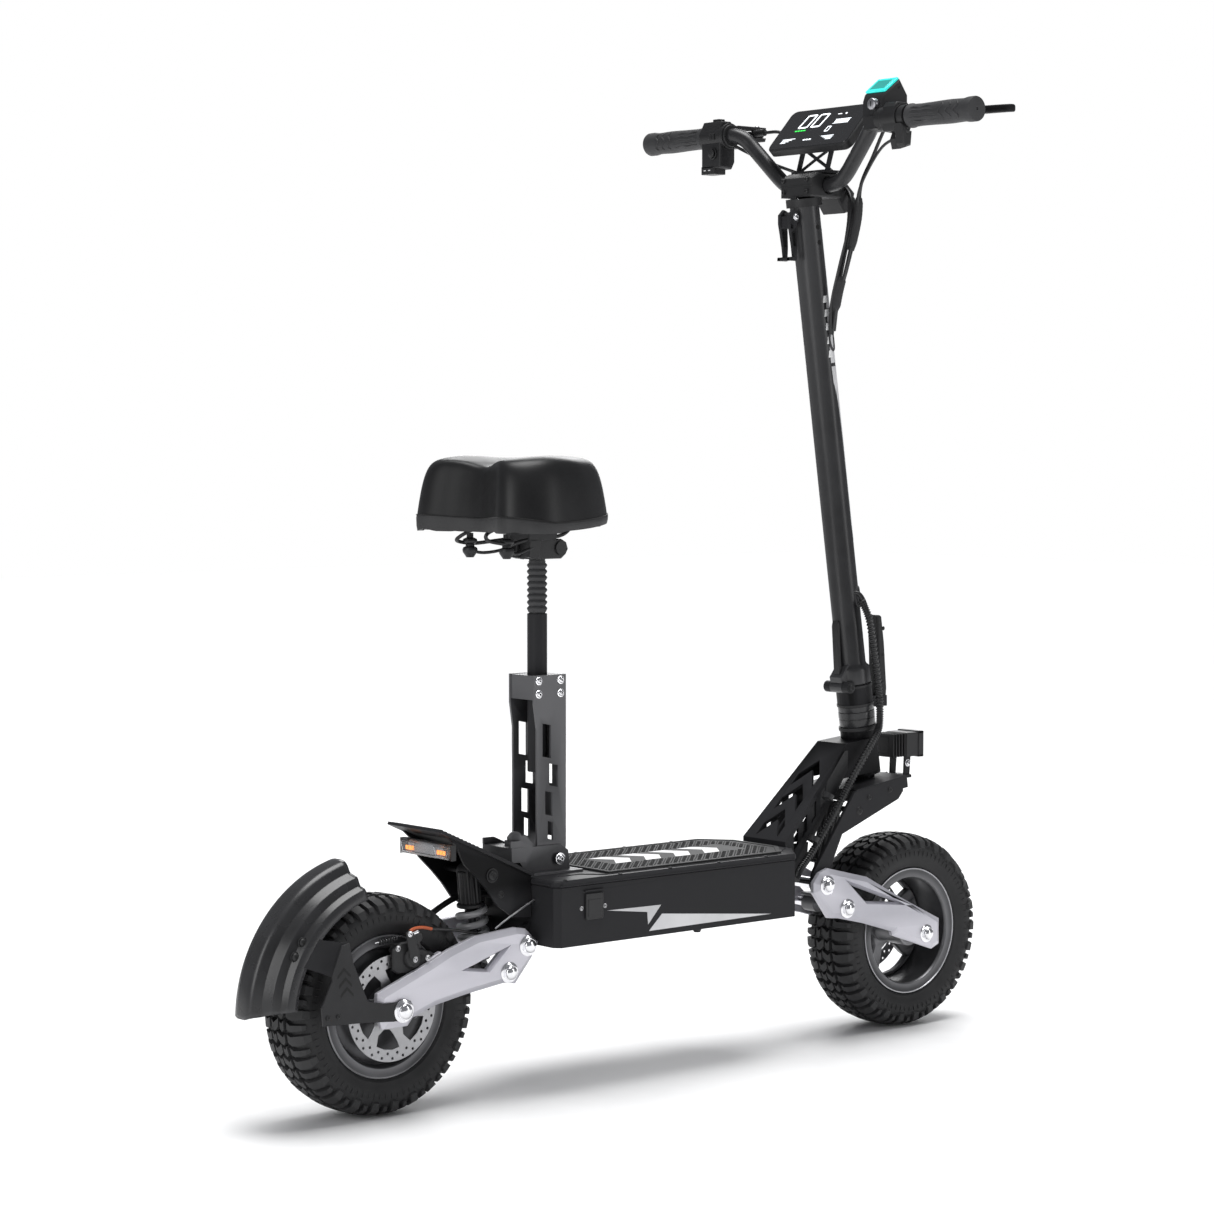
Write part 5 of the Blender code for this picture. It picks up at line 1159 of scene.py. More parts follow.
# ---------------------------------------------------------------- fork, headlight, folding joint
def make_fork():
    """The fork's carried-over nodes, bolts, folding base, brake caliper and headlight."""
    dress("fork_frame", POWDER_COAT)
    dress("steerer", POWDER_COAT)
    dress("fold_lever", MOULDED, 0.0008)
    bolts = []
    for sign in (1, -1):
        bolts.append(((0.842, sign * 0.056, 0.3375), (0, sign, 0), 0.0065, 0.0045, 24))
        for x, z in ((0.905, 0.364), (0.862, 0.356)):
            bolts.append(((x, sign * 0.0588, z), (0, sign, 0), 0.0036, 0.0024, 20))
    bolt_piece("fork_bolts", bolts, MOULDED, "fork")
    rings = bmesh.new()
    for height, radius in ((0.056, 0.0279), (0.084, 0.0279), (0.034, 0.0252)):
        low, high = height - 0.0016, height + 0.0016
        add_turned(rings, [(0.02, low), (radius, low), (radius, high), (0.02, high)],
                   STEER_POINT, STEER_AXIS, 64, closed=True)
    piece("folding_base_rings", rings, CAST_BLACK, "fork")
    bolt_piece("fold_hinge_bolts",
               [((0.857, sign * 0.0252, 0.5155), (0, sign, 0), 0.0056, 0.0034, 20)
                for sign in (1, -1)], MOULDED, "fork")
    outer_half = [(0.93, 0.19), (0.962, 0.2), (0.958, 0.222), (0.922, 0.212)]
    inner_half = [(0.932, 0.194), (0.958, 0.202), (0.955, 0.219), (0.926, 0.21)]
    roof = [(0.928, 0.209), (0.957, 0.218), (0.955, 0.224), (0.925, 0.215)]
    plate_piece("front_caliper_cast",
                [(outer_half, 0.052, 0.059, 0.0015), (inner_half, 0.042, 0.049, 0.0015),
                 (roof, 0.042, 0.059, 0.001)], CAST_BLACK, "front_arm")
    make_headlight()
    make_fold_details()


def make_headlight():
    """A finned lamp body with a framed lens, on a bent bracket over the crown."""
    back, fins, front = HEADLIGHT_LOW.x, HEADLIGHT_LOW.x + 0.029, HEADLIGHT_HIGH.x
    half, low, high = HEADLIGHT_HIGH.y, HEADLIGHT_LOW.z, HEADLIGHT_HIGH.z
    body = bmesh.new()
    add_box(body, (fins, -half * 0.94, low + 0.0015), (front - 0.007, half * 0.94, high - 0.0015))
    for k in range(5):
        x = back + 0.001 + k * 0.006
        add_box(body, (x, -half * 0.94, low + 0.002), (x + 0.0024, half * 0.94, high - 0.002))
    add_box(body, (back + 0.0005, -half * 0.5, low + 0.006),
            (fins + 0.002, half * 0.5, high - 0.006))
    piece("headlight_fins", body, MOULDED, "fork", ("headlight",), bevel=0.001)
    bezel = bmesh.new()
    rim = 0.0042
    for y0, y1, z0, z1 in ((-half, -half + rim, low, high), (half - rim, half, low, high),
                           (-half, half, high - rim, high), (-half, half, low, low + rim)):
        add_box(bezel, (front - 0.011, y0, z0), (front - 0.0004, y1, z1))
    piece("headlight_bezel", bezel, MOULDED, "fork", bevel=0.001)
    box_piece("headlight_lens", (front - 0.0085, -half + 0.003, low + 0.003),
              (front - 0.0035, half - 0.003, high - 0.003), REFLECTOR, "fork", bevel=0.0008)
    bracket = bmesh.new()
    leg = [(0.978, 0.374), (0.99, 0.374), (0.993, 0.412), (0.98, 0.412)]
    for sign in (1, -1):
        add_side_plate(bracket, [leg], sign, 0.013, 0.016, chamfer=0.0004)
    foot = [(0.9446, -0.02), (0.99, -0.02), (0.997, -0.012), (0.997, 0.012),
            (0.99, 0.02), (0.9446, 0.02)]
    add_plate(bracket, [foot], 0.373, 0.3775, axis="Z", chamfer=0.0008)
    piece("headlight_bracket", bracket, POWDER_COAT, "fork")
    bolts = [((0.986, sign * 0.016, 0.395), (0, sign, 0), 0.0042, 0.0034, 20)
             for sign in (-1, 1)]
    bolts += [((x, y, 0.3775), (0, 0, 1), 0.0032, 0.0034, 16)
              for x, y in ((0.955, -0.012), (0.966, -0.014), (0.966, 0.01))]
    bolt_piece("headlight_screws", bolts, CHROME, "fork")


def make_fold_details():
    """A strip up the stem's back, the lock lever's rivets and the folding base's sleeve."""
    strip = [(0.851, 0.535), (0.856, 0.535), (0.852, 0.61), (0.848, 0.614),
             (0.8462, 0.606)]
    plate_piece("stem_back_strip", [(strip, -0.006, 0.006, 0.0008)], MOULDED, "stem")
    bolt_piece("fold_lever_rivets", [((0.937, -0.0115, z), (0, -1, 0), 0.0024, 0.0012, 16)
                                     for z in (0.52, 0.56, 0.6)], MOULDED, "fold_lever")
    sleeve = bmesh.new()
    add_turned(
        sleeve,
        [(0.019, 0.0238), (0.0262, 0.0238), (0.0268, 0.025), (0.0268, 0.0345), (0.0262, 0.035),
         (0.0262, 0.0362), (0.0271, 0.0368), (0.0271, 0.0452), (0.0262, 0.0458), (0.0268, 0.047),
         (0.0268, 0.0545), (0.019, 0.0545)],
        STEER_POINT, STEER_AXIS, 72, closed=True,
    )
    piece("folding_base_sleeve", sleeve, FENDER_PLASTIC, "fork")


# ---------------------------------------------------------------- stem
def make_stem():
    """The stem's tube with its folding foot, print, cable ports and hook."""
    top_height = height_at(1.229)
    shape = bmesh.new()
    profile = [
        (0.0, 0.0871), (0.0255, 0.0871), (0.027, 0.0885), (0.027, 0.108), (0.0258, 0.112),
        (0.0225, 0.115), (STEM_RADIUS, 0.118), (STEM_RADIUS, top_height - 0.0008),
        (STEM_RADIUS - 0.0008, top_height), (STEM_RADIUS - 0.003, top_height),
        (STEM_RADIUS - 0.003, top_height - 0.02), (0.0, top_height - 0.02),
    ]
    add_turned(shape, profile, STEER_POINT, STEER_AXIS, 72)
    add_rod(shape, (0.857, -0.0124, 0.5155), (0.857, 0.0124, 0.5155), 0.0085, 32)
    wedge = [(0.85, 0.522), (0.862, 0.522), (0.88, 0.538), (0.868, 0.556),
             (0.848, 0.53)]
    add_plate(shape, [wedge], -0.0124, 0.0124, chamfer=0.001)
    add_box(shape, (0.748, -0.006, 1.196), (0.78, 0.006, 1.21))
    piece("stem_tube_drawn", shape, TUBE_COAT, "stem", ("stem_tube",))
    make_stem_stripe(top_height)
    make_ports()
    make_hook()


def stem_patch(shape, heights, start_angles, end_angles):
    """A printed patch on the stem: for each height along the axis, its start and end angle."""
    forward = Vector((math.cos(STEER_LEAN), 0.0, math.sin(STEER_LEAN)))
    side = Vector((0.0, -1.0, 0.0))
    lift, columns = 0.00035, 8
    rings = []
    for height, start, end in zip(heights, start_angles, end_angles):
        row = []
        for k in range(columns + 1):
            angle = math.radians(start + (end - start) * k / columns)
            out = forward * math.sin(angle) + side * math.cos(angle)
            row.append(on_axis(height) + out * (STEM_RADIUS + lift))
        rings.append(row)
    add_rings(shape, rings, closed_rings=False, caps=False)


def make_stem_stripe(top_height):
    """A long silver flash down the stem's front right, and short generic bars near its top."""
    flash = bmesh.new()
    stem_patch(flash, (0.3, 0.56), (38, 2), (62, 60))
    stem_patch(flash, (0.565, 0.64), (1, 6), (60, 58))
    stem_patch(flash, (0.645, 0.76), (7, 48), (58, 56))
    piece("stem_flash", flash, PALE_PRINT, "stem")
    bars = bmesh.new()
    for k in range(5):
        height = top_height - 0.15 - k * 0.02
        stem_patch(bars, (height, height + 0.01), (-8, -2), (14, 20))
    piece("stem_bars", bars, WHITE_PRINT, "stem")
    # Near-black discs stand in for the stem's two screw holes: painted shade.
    hole = bmesh.new()
    out = Vector((0.1, -0.995, 0.0)).normalized()
    for drop in (0.04, 0.062):
        centre = on_axis(top_height - drop)
        add_rod(hole, centre + out * (STEM_RADIUS - 0.002), centre + out * (STEM_RADIUS + 0.0004),
                0.0036, 24)
    piece("stem_screw_holes", hole, HOLE_SHADE_AND_DARK_TRIM, "stem")


def make_ports():
    """Oval rubber grommets where the cables enter and leave the stem, each opening closed by a
    near-black face that is painted shade for the hole.
    """
    for name, z in (("upper", 1.026), ("lower", 0.648)):
        centre = on_axis(height_at(z))
        out = Vector((0.42, -0.9, 0.06)).normalized()
        across = out.cross(STEER_AXIS).normalized()
        ring = []
        for k in range(33):
            angle = 2 * math.pi * k / 32
            lean = across * math.cos(angle) * 0.0075 + STEER_AXIS * math.sin(angle) * 0.015
            reach = out * (STEM_RADIUS - 0.0005) + lean
            along = STEER_AXIS * reach.dot(STEER_AXIS)
            ring.append(centre + along + (reach - along).normalized() * STEM_RADIUS)
        shape = bmesh.new()
        add_tube(shape, ring, 0.0022, 10)
        piece(f"cable_port_{name}", shape, GRIP_RUBBER, "stem")
        # A near-black face over the opening: painted shade for the hole into the stem.
        dark = bmesh.new()
        face = [spot.lerp(centre, 0.001) + out * 0.0004 for spot in ring[:-1]]
        dark.faces.new([dark.verts.new(spot) for spot in face])
        piece(f"cable_port_{name}_dark", dark, HOLE_SHADE_AND_DARK_TRIM, "stem")


def make_hook():
    """The sprung folding hook: a bolted head, a slotted arm and a turned-out foot."""
    shape = bmesh.new()
    half = 0.0128
    outline = [(0.756, 1.2115), (0.749, 1.214), (0.741, 1.206), (0.741, 1.193),
               (0.744, 1.18), (0.748, 1.16), (0.75, 1.146), (0.7405, 1.145),
               (0.7405, 1.14), (0.756, 1.14), (0.757, 1.16), (0.756, 1.19)]
    window = [(0.749, 1.162), (0.753, 1.162), (0.751, 1.18), (0.747, 1.18)]
    for sign in (1, -1):
        add_side_plate(shape, [outline, window], sign, 0.007, half, chamfer=0.0006)
    add_box(shape, (0.743, -half, 1.186), (0.748, half, 1.204))
    add_box(shape, (0.7405, -half, 1.14), (0.747, half, 1.144))
    piece("stem_hook_plate", shape, POWDER_COAT, "stem_hook", ("stem_hook",))
    bolt_piece("stem_hook_pin", [((0.753, sign * half, 1.203), (0, sign, 0), 0.0042, 0.0032, 20)
                                 for sign in (1, -1)], CHROME, "stem_hook")


# ---------------------------------------------------------------- handlebar and controls
def bar_route():
    """The handlebar's middle line with its corners rounded by short quadratic curves."""
    x, z, end = BAR_CLAMP.x, BAR_CLAMP.z, BAR_END
    half = [Vector(p) for p in (
        (x, 0.0, z), (x, 0.034, z), (x, 0.05, z + 0.002), (x, 0.062, z + 0.008),
        (x - 0.001, 0.074, z + 0.018), (x - 0.009, 0.122, end.z - 0.018),
        (x - 0.012, 0.131, end.z - 0.009), (x - 0.015, 0.141, end.z - 0.003),
        (end.x, 0.153, end.z), (end.x, 0.338, end.z))]
    points = [Vector((p.x, -p.y, p.z)) for p in reversed(half[1:])] + half
    out = [points[0]]
    for a, b, c in zip(points, points[1:], points[2:]):
        reach = min(0.012, (b - a).length * 0.45, (c - b).length * 0.45)
        start = b + (a - b).normalized() * reach
        finish = b + (c - b).normalized() * reach
        for t in (0.0, 0.25, 0.5, 0.75, 1.0):
            out.append(start * (1 - t) ** 2 + b * 2 * t * (1 - t) + finish * t**2)
    out.append(points[-1])
    return out


def make_bar():
    """The bent handlebar in its split clamp."""
    shape = bmesh.new()
    add_tube(shape, bar_route(), BAR_RADIUS, 32)
    piece("handlebar_bent", shape, TUBE_COAT, "stem", ("handlebar",))
    clamp = bmesh.new()
    outline = [(0.764, 1.2325), (0.826, 1.2325), (0.826, 1.26), (0.818, 1.268),
               (0.78, 1.268), (0.764, 1.26)]
    bore = circle((BAR_CLAMP.x, BAR_CLAMP.z), BAR_RADIUS + 0.0002, 32)
    add_plate(clamp, [outline, bore], -0.032, 0.032, chamfer=0.0022)
    groove = [(0.7632, 1.2478), (0.77, 1.2478), (0.77, 1.2492), (0.7632, 1.2492)]
    add_plate(clamp, [groove], -0.0322, 0.0322)
    base = height_at(1.226)
    add_rod(clamp, on_axis(base - 0.006), on_axis(base + 0.006), 0.0262, 48)
    add_box(clamp, (0.76, -0.006, 1.224), (0.768, 0.006, 1.233))
    piece("bar_clamp_split", clamp, CAST_BLACK, "stem", ("bar_clamp",))
    bolt_piece("bar_clamp_bolts", [((0.764, y, z), (-1, 0, 0), 0.0034, 0.0034, 18)
                                   for y in (-0.024, 0.024) for z in (1.24, 1.257)],
               MOULDED, "stem")
    bolt_piece("bar_clamp_pinch_bolt",
               [((0.7635, -0.006, 1.228), (0, -1, 0), 0.0024, 0.0026, 18)], CHROME, "stem")


DISPLAY_CENTRE = Vector((0.8165, 0.0, 1.3325))
DISPLAY_TILT = math.radians(47.5)
DISPLAY_HALF = Vector((0.0425, 0.084))
GLYPH_SLANT = 0.22


def display_turn():
    """Display axes: X up the face, Y to the left, Z out of the face towards the rider."""
    return Matrix.Translation(DISPLAY_CENTRE) @ Matrix.Rotation(-DISPLAY_TILT, 4, "Y")


def rounded_outline(half_x, half_y, radius):
    points = []
    count = 6
    for quarter, (sx, sy) in enumerate(((1, 1), (-1, 1), (-1, -1), (1, -1))):
        for k in range(count + 1):
            corner = (sx * (half_x - radius), sy * (half_y - radius))
            points.append(polar(corner, radius, math.pi / 2 * (quarter + k / count)))
    return points


def add_glyph(shape, outline):
    """A printed mark on the screen, given by (right, up) points in metres."""
    face = 0.0071
    flat = [(up, -right) for right, up in outline]
    add_plate(shape, [flat], face, face + 0.0002, axis="Z", turn=display_turn())


def slanted(right, up, width, height):
    """A leaning bar from its lower left corner."""
    low, high = right + up * GLYPH_SLANT, right + (up + height) * GLYPH_SLANT
    return [(low, up), (low + width, up), (high + width, up + height), (high, up + height)]


def add_zero(shape, right, up, width, height, stroke):
    """A seven-segment nought."""
    for level in (up, up + height - stroke):
        add_glyph(shape, slanted(right + stroke, level, width - 2 * stroke, stroke))
    for column in (right, right + width - stroke):
        for level in (up + stroke * 0.4, up + height / 2 + stroke * 0.2):
            add_glyph(shape, slanted(column, level, stroke, height / 2 - stroke * 0.6))


def make_display():
    """The tilted display: case, glass, generic marks and its bracket over the clamp."""
    case = bmesh.new()
    outline = rounded_outline(DISPLAY_HALF.x, DISPLAY_HALF.y, 0.012)
    add_plate(case, [outline], -0.007, 0.0064, axis="Z", chamfer=0.0016, turn=display_turn())
    piece("display_case", case, MOULDED, "stem", ("display",))
    glass = bmesh.new()
    outline = rounded_outline(DISPLAY_HALF.x - 0.0022, DISPLAY_HALF.y - 0.0022, 0.01)
    add_plate(glass, [outline], 0.005, 0.0069, axis="Z", chamfer=0.0003, turn=display_turn())
    piece("display_glass", glass, SCREEN, "stem")
    white = bmesh.new()
    add_zero(white, -0.046, 0.0, 0.02, 0.028, 0.0026)
    add_zero(white, -0.02, 0.0, 0.02, 0.028, 0.0026)
    add_zero(white, 0.02, -0.012, 0.008, 0.011, 0.0013)
    bars = [(0.026 + 0.005 * k, 0.005, 0.0036, 0.0062) for k in range(6)]
    bars += [(0.024, 0.0036, 0.032, 0.0006), (0.024, 0.012, 0.032, 0.0006),
             (0.018, 0.0235, 0.008, 0.0012)]
    for k in range(4):
        width = 0.026 - 0.005 * k
        for right in (-0.056, 0.05 - width):
            bars.append((right, -0.022 - 0.0024 * k, width, 0.0008))
    bars += [(-0.01 + 0.006 * k, -0.027, 0.0042, 0.0022) for k in range(3)]
    for bar in bars:
        add_glyph(white, slanted(*bar))
    add_glyph(white, circle((0.0405, 0.024), 0.0016, 12))
    piece("display_marks", white, SCREEN_WHITE, "stem")
    green = bmesh.new()
    for k in range(4):
        add_glyph(green, slanted(-0.046 + 0.0058 * k, -0.006, 0.0044, 0.002))
    piece("display_green_bars", green, SCREEN_GREEN, "stem")
    legs = bmesh.new()
    leg = [(0.794, 1.269), (0.802, 1.269), (0.817, 1.317), (0.806, 1.309)]
    for sign in (1, -1):
        add_side_plate(legs, [leg], sign, 0.0284, 0.0316, chamfer=0.0005)
        add_tube(legs, [(0.804, sign * 0.03, 1.274), (0.806, 0.0, 1.29),
                        (0.81, sign * -0.03, 1.306)], 0.0022, 10)
    add_box(legs, (0.788, -0.034, 1.268), (0.824, 0.034, 1.272))
    piece("display_bracket", legs, POWDER_COAT, "stem")
    hood = [(0.826, 1.233), (0.842, 1.212), (0.856, 1.216), (0.862, 1.242),
            (0.834, 1.266), (0.826, 1.26)]
    plate_piece("bar_clamp_nose", [(hood, -0.024, 0.024, 0.002)], CAST_BLACK, "stem")


def make_grip(side, sign, inner_y):
    """A moulded grip: flanges, a waisted smooth body, short palm waves and a domed end cap."""
    length = BAR_END.y - inner_y
    profile = [
        (BAR_RADIUS + 0.0003, 0.0), (0.0165, 0.0), (0.0172, 0.001), (0.0172, 0.004),
        (0.016, 0.006), (0.0156, 0.022), (0.016, 0.045), (0.0166, 0.066), (0.0168, 0.08),
        (0.0162, 0.098), (0.0162, length - 0.02), (0.0172, length - 0.0145),
        (0.0175, length - 0.012), (0.0175, length - 0.002), (0.0168, length - 0.0004),
        (0.015, length), (0.0022, length), (0.0018, length - 0.0012), (0.0, length - 0.0012),
    ]
    shape = bmesh.new()
    add_turned(shape, profile, (BAR_END.x, sign * inner_y, BAR_END.z), (0, sign, 0), 64)

    def spot(turn, radius, along, rise=0.0):
        return (BAR_END.x - radius * math.cos(turn), sign * (inner_y + along),
                BAR_END.z + radius * math.sin(turn) + rise)

    for start in (0.07, 0.084, 0.098):
        add_tube(shape, [spot(math.radians(-45 + 90 * step / 12), 0.0162,
                              start + 0.004 * math.sin(step * math.pi / 4))
                         for step in range(13)], 0.0015, 8)
    for turn in (-38, -19, 0, 19, 38):
        add_tube(shape, [spot(math.radians(turn), 0.0158, 0.01 + 0.052 * step / 8,
                              0.0008 * math.sin(step * math.pi / 2))
                         for step in range(9)], 0.0009, 6)
    piece(f"{side}_grip_moulded", shape, GRIP_RUBBER, "stem", (f"{side}_grip",))


def make_switch_pod():
    """The left pod with its horn button, turn switch and printed marks."""
    shape = bmesh.new()
    x, z = BAR_END.x, BAR_END.z
    body = [(0.766, 1.287), (0.79, 1.285), (0.796, 1.296), (0.796, 1.348),
            (0.788, 1.356), (0.77, 1.356), (0.766, 1.348)]
    add_plate(shape, [body], 0.164, 0.2075, chamfer=0.0022)
    add_rod(shape, (x, 0.159, z), (x, 0.209, z), 0.019, 48)
    add_box(shape, (0.774, 0.176, 1.35), (0.786, 0.19, 1.36))
    add_box(shape, (0.766, 0.179, 1.278), (0.79, 0.207, 1.29))
    add_rod(shape, (x, 0.158, z), (x, 0.164, z), 0.015, 40)
    horn_y, horn_z = 0.18, z - 0.026
    rim = circle((horn_y, horn_z), 0.0076, 32)
    add_tube(shape, [(x - 0.0176, a, b) for a, b in rim + rim[:1]], 0.0012, 16)
    piece("switch_pod_shell", shape, MOULDED, "stem", ("switch_pod",), bevel=0.0008)
    horn = bmesh.new()
    cap = [(0.0, 0.0052), (0.0045, 0.005), (0.006, 0.004), (0.006, 0.0025), (0.0, 0.0025)]
    add_turned(horn, cap, (x - 0.0173, horn_y, horn_z), (-1, 0, 0), 32)
    piece("horn_button_cap", horn, MOULDED, "horn_button", ("horn_button",))
    slider = bmesh.new()
    add_box(slider, (x - 0.0205, 0.174, z - 0.006), (x - 0.0165, 0.186, z + 0.004))
    for k in range(3):
        y = 0.1765 + 0.0035 * k
        add_box(slider, (x - 0.0212, y - 0.0006, z - 0.005),
                (x - 0.02, y + 0.0006, z + 0.003))
    piece("turn_switch_slider", slider, MOULDED, "turn_switch", ("turn_switch",), bevel=0.0005)
    marks = bmesh.new()
    face = 0.7656
    for y, half, low, high in ((0.199, 0.0016, 1.336, 1.3385), (0.169, 0.0016, 1.336, 1.3385),
                               (0.189, 0.0022, 1.2832, 1.2846), (0.199, 0.0022, 1.2832, 1.2846)):
        add_box(marks, (face, y - half, low), (face + 0.0006, y + half, high))
    piece("switch_pod_marks", marks, WHITE_PRINT, "stem")


def make_perch(side, sign):
    """The brake lever's perch: a clamp on the bar and a forked nose for the pivot."""
    inner = 0.162
    y0, y1 = sign * (inner - 0.006), sign * (inner + 0.016)
    nose = [(0.79, 1.323), (0.83, 1.327), (0.85, 1.329), (0.852, 1.3344),
            (0.84, 1.3344), (0.8, 1.3345), (0.796, 1.34)]
    hinge = [(0.833, 1.347), (0.851, 1.347), (0.852, 1.35), (0.796, 1.35),
             (0.794, 1.344), (0.824, 1.344)]
    shape = bmesh.new()
    for outline, chamfer in ((circle((BAR_END.x, BAR_END.z), 0.0168, 32), 0.0012),
                             (nose, 0.001), (hinge, 0.0008)):
        add_side_plate(shape, [outline], 1, y0, y1, chamfer=chamfer)
    barrel_y = sign * (inner - 0.004)
    add_tube(shape, [(0.828, barrel_y, 1.34), (0.828, barrel_y - sign * 0.024, 1.34)],
             0.0052, 20)
    name = f"{side}_lever_perch"
    piece(name, shape, CAST_BLACK, "stem")
    bolt_piece(name + "_bolts",
               [((0.842, sign * 0.166, 1.35), (0, 0, 1), 0.004, 0.0026, 18),
                ((0.8, (y0 + y1) / 2, 1.3185), (0.6, 0, -0.8), 0.003, 0.003, 16)],
               STEEL, "stem")


def make_brake_lever(side, sign):
    """A forged lever: pivot boss, a curved blade that narrows, and a blunt rounded end."""
    height = 1.3404
    plan = ((0.842, 0.16), (0.848, 0.18), (0.846, 0.211), (0.844, 0.25), (0.845, 0.285),
            (0.85, 0.312), (0.8555, 0.332), (0.858, 0.3375))
    route = smooth_route([(x, y, height) for x, y in plan], 44)
    rings = []
    for i, point in enumerate(route):
        t = i / (len(route) - 1)
        end = math.sqrt(max(0.0, 1.0 - max(0.0, (t - 0.95) / 0.05) ** 2)) * 0.5 + 0.5
        half_depth = (0.0085 - 0.0022 * t) * end
        half_height = (0.006 - 0.0006 * t) * end
        ring = []
        for k in range(20):
            ca, sa = polar((0.0, 0.0), 1.0, 2 * math.pi * k / 20)
            dx = math.copysign(abs(ca) ** 0.55, ca) * half_depth
            dz = math.copysign(abs(sa) ** 0.55, sa) * half_height
            ring.append(Vector((point.x + dx, sign * point.y, point.z + dz)))
        rings.append(ring)
    shape = bmesh.new()
    add_rings(shape, rings)
    add_rod(shape, (0.842, sign * 0.166, 1.335), (0.842, sign * 0.166, 1.3462), 0.0088, 32)
    node = f"{side}_brake_lever"
    piece(node + "_forged", shape, POWDER_COAT, node, (node,))


def make_throttle():
    """The right pod with its thumb throttle."""
    shape = bmesh.new()
    body = [(0.768, 1.314), (0.796, 1.312), (0.8, 1.32), (0.8, 1.348),
            (0.792, 1.355), (0.772, 1.355), (0.766, 1.348), (0.766, 1.318)]
    add_plate(shape, [body], -0.1995, -0.173, chamfer=0.0022)
    add_rod(shape, (BAR_END.x, -0.2, BAR_END.z), (BAR_END.x, -0.169, BAR_END.z), 0.0185, 48)
    piece("throttle_pod_shell", shape, MOULDED, "stem", ("throttle_pod",), bevel=0.0006)
    paddle = bmesh.new()
    bore, inner, outer = BAR_RADIUS + 0.0006, 0.2004, 0.212
    add_turned(paddle, [(bore, inner), (0.0165, inner), (0.0165, outer), (bore, outer)],
               (BAR_END.x, 0.0, BAR_END.z), (0, -1, 0), 48, closed=True)
    blade = [(0.766, 1.324), (0.77, 1.296), (0.776, 1.2905), (0.779, 1.293),
             (0.778, 1.321)]
    add_plate(paddle, [blade], -outer, -0.196, chamfer=0.0016)
    piece("thumb_throttle_paddle", paddle, MOULDED, "thumb_throttle", ("thumb_throttle",))
    belly = [(0.784, 1.29), (0.804, 1.296), (0.806, 1.316), (0.786, 1.318),
             (0.78, 1.304)]
    plate_piece("throttle_belly", [(belly, -0.196, -0.173, 0.003)], MOULDED, "stem")


def make_key_module():
    """The ignition module: a slanted housing on a clamp, its lit lens and its key barrel."""
    housing = [(0.776, 1.33), (0.802, 1.33), (0.826, 1.35), (0.826, 1.37),
               (0.81, 1.392), (0.78, 1.37), (0.776, 1.36)]
    clamp = [(0.77, 1.32), (0.798, 1.318), (0.8, 1.336), (0.77, 1.338)]
    plate_piece("key_module_case",
                [(housing, -0.166, -0.124, 0.002), (clamp, -0.16, -0.132, 0.002)],
                MOULDED, "stem", ("key_module",))
    slope = Matrix.Translation((0.7955, -0.145, 1.3828)) @ Matrix.Rotation(
        -math.radians(36.5), 4, "Y")
    box_piece("key_module_lens", (-0.017, -0.0195, -0.001), (0.0165, 0.0195, 0.0026),
              TEAL, "stem", bevel=0.001, turn=slope)
    box_piece("key_module_window", (-0.012, -0.0145, 0.002), (0.0105, 0.0145, 0.003),
              TEAL_GLASS, "stem", bevel=0.0004, turn=slope)
    bolt_piece("key_module_screws", [((x, -0.166, z), (0, -1, 0), 0.0022, 0.0012, 14)
                                     for x, z in ((0.82, 1.354), (0.808, 1.38),
                                                  (0.786, 1.356))], MOULDED, "stem")
    barrel = bmesh.new()
    key_y, key_z = -0.15, 1.355
    add_turned(barrel, [(0.0, 0.0072), (0.0066, 0.0072), (0.0078, 0.0064), (0.0085, 0.005),
                        (0.0085, -0.0008), (0.0, -0.0008)], (0.7745, key_y, key_z), (-1, 0, 0), 40)
    piece("key_barrel_turned", barrel, BARE_ALUMINIUM, "key_barrel", ("key_barrel",))
    # A near-black sliver for the key slot: painted shade in the slot.
    box_piece("key_slot", (0.7671, key_y - 0.0008, key_z - 0.0036),
              (0.7676, key_y + 0.0008, key_z + 0.0036), HOLE_SHADE_AND_DARK_TRIM, "key_barrel")


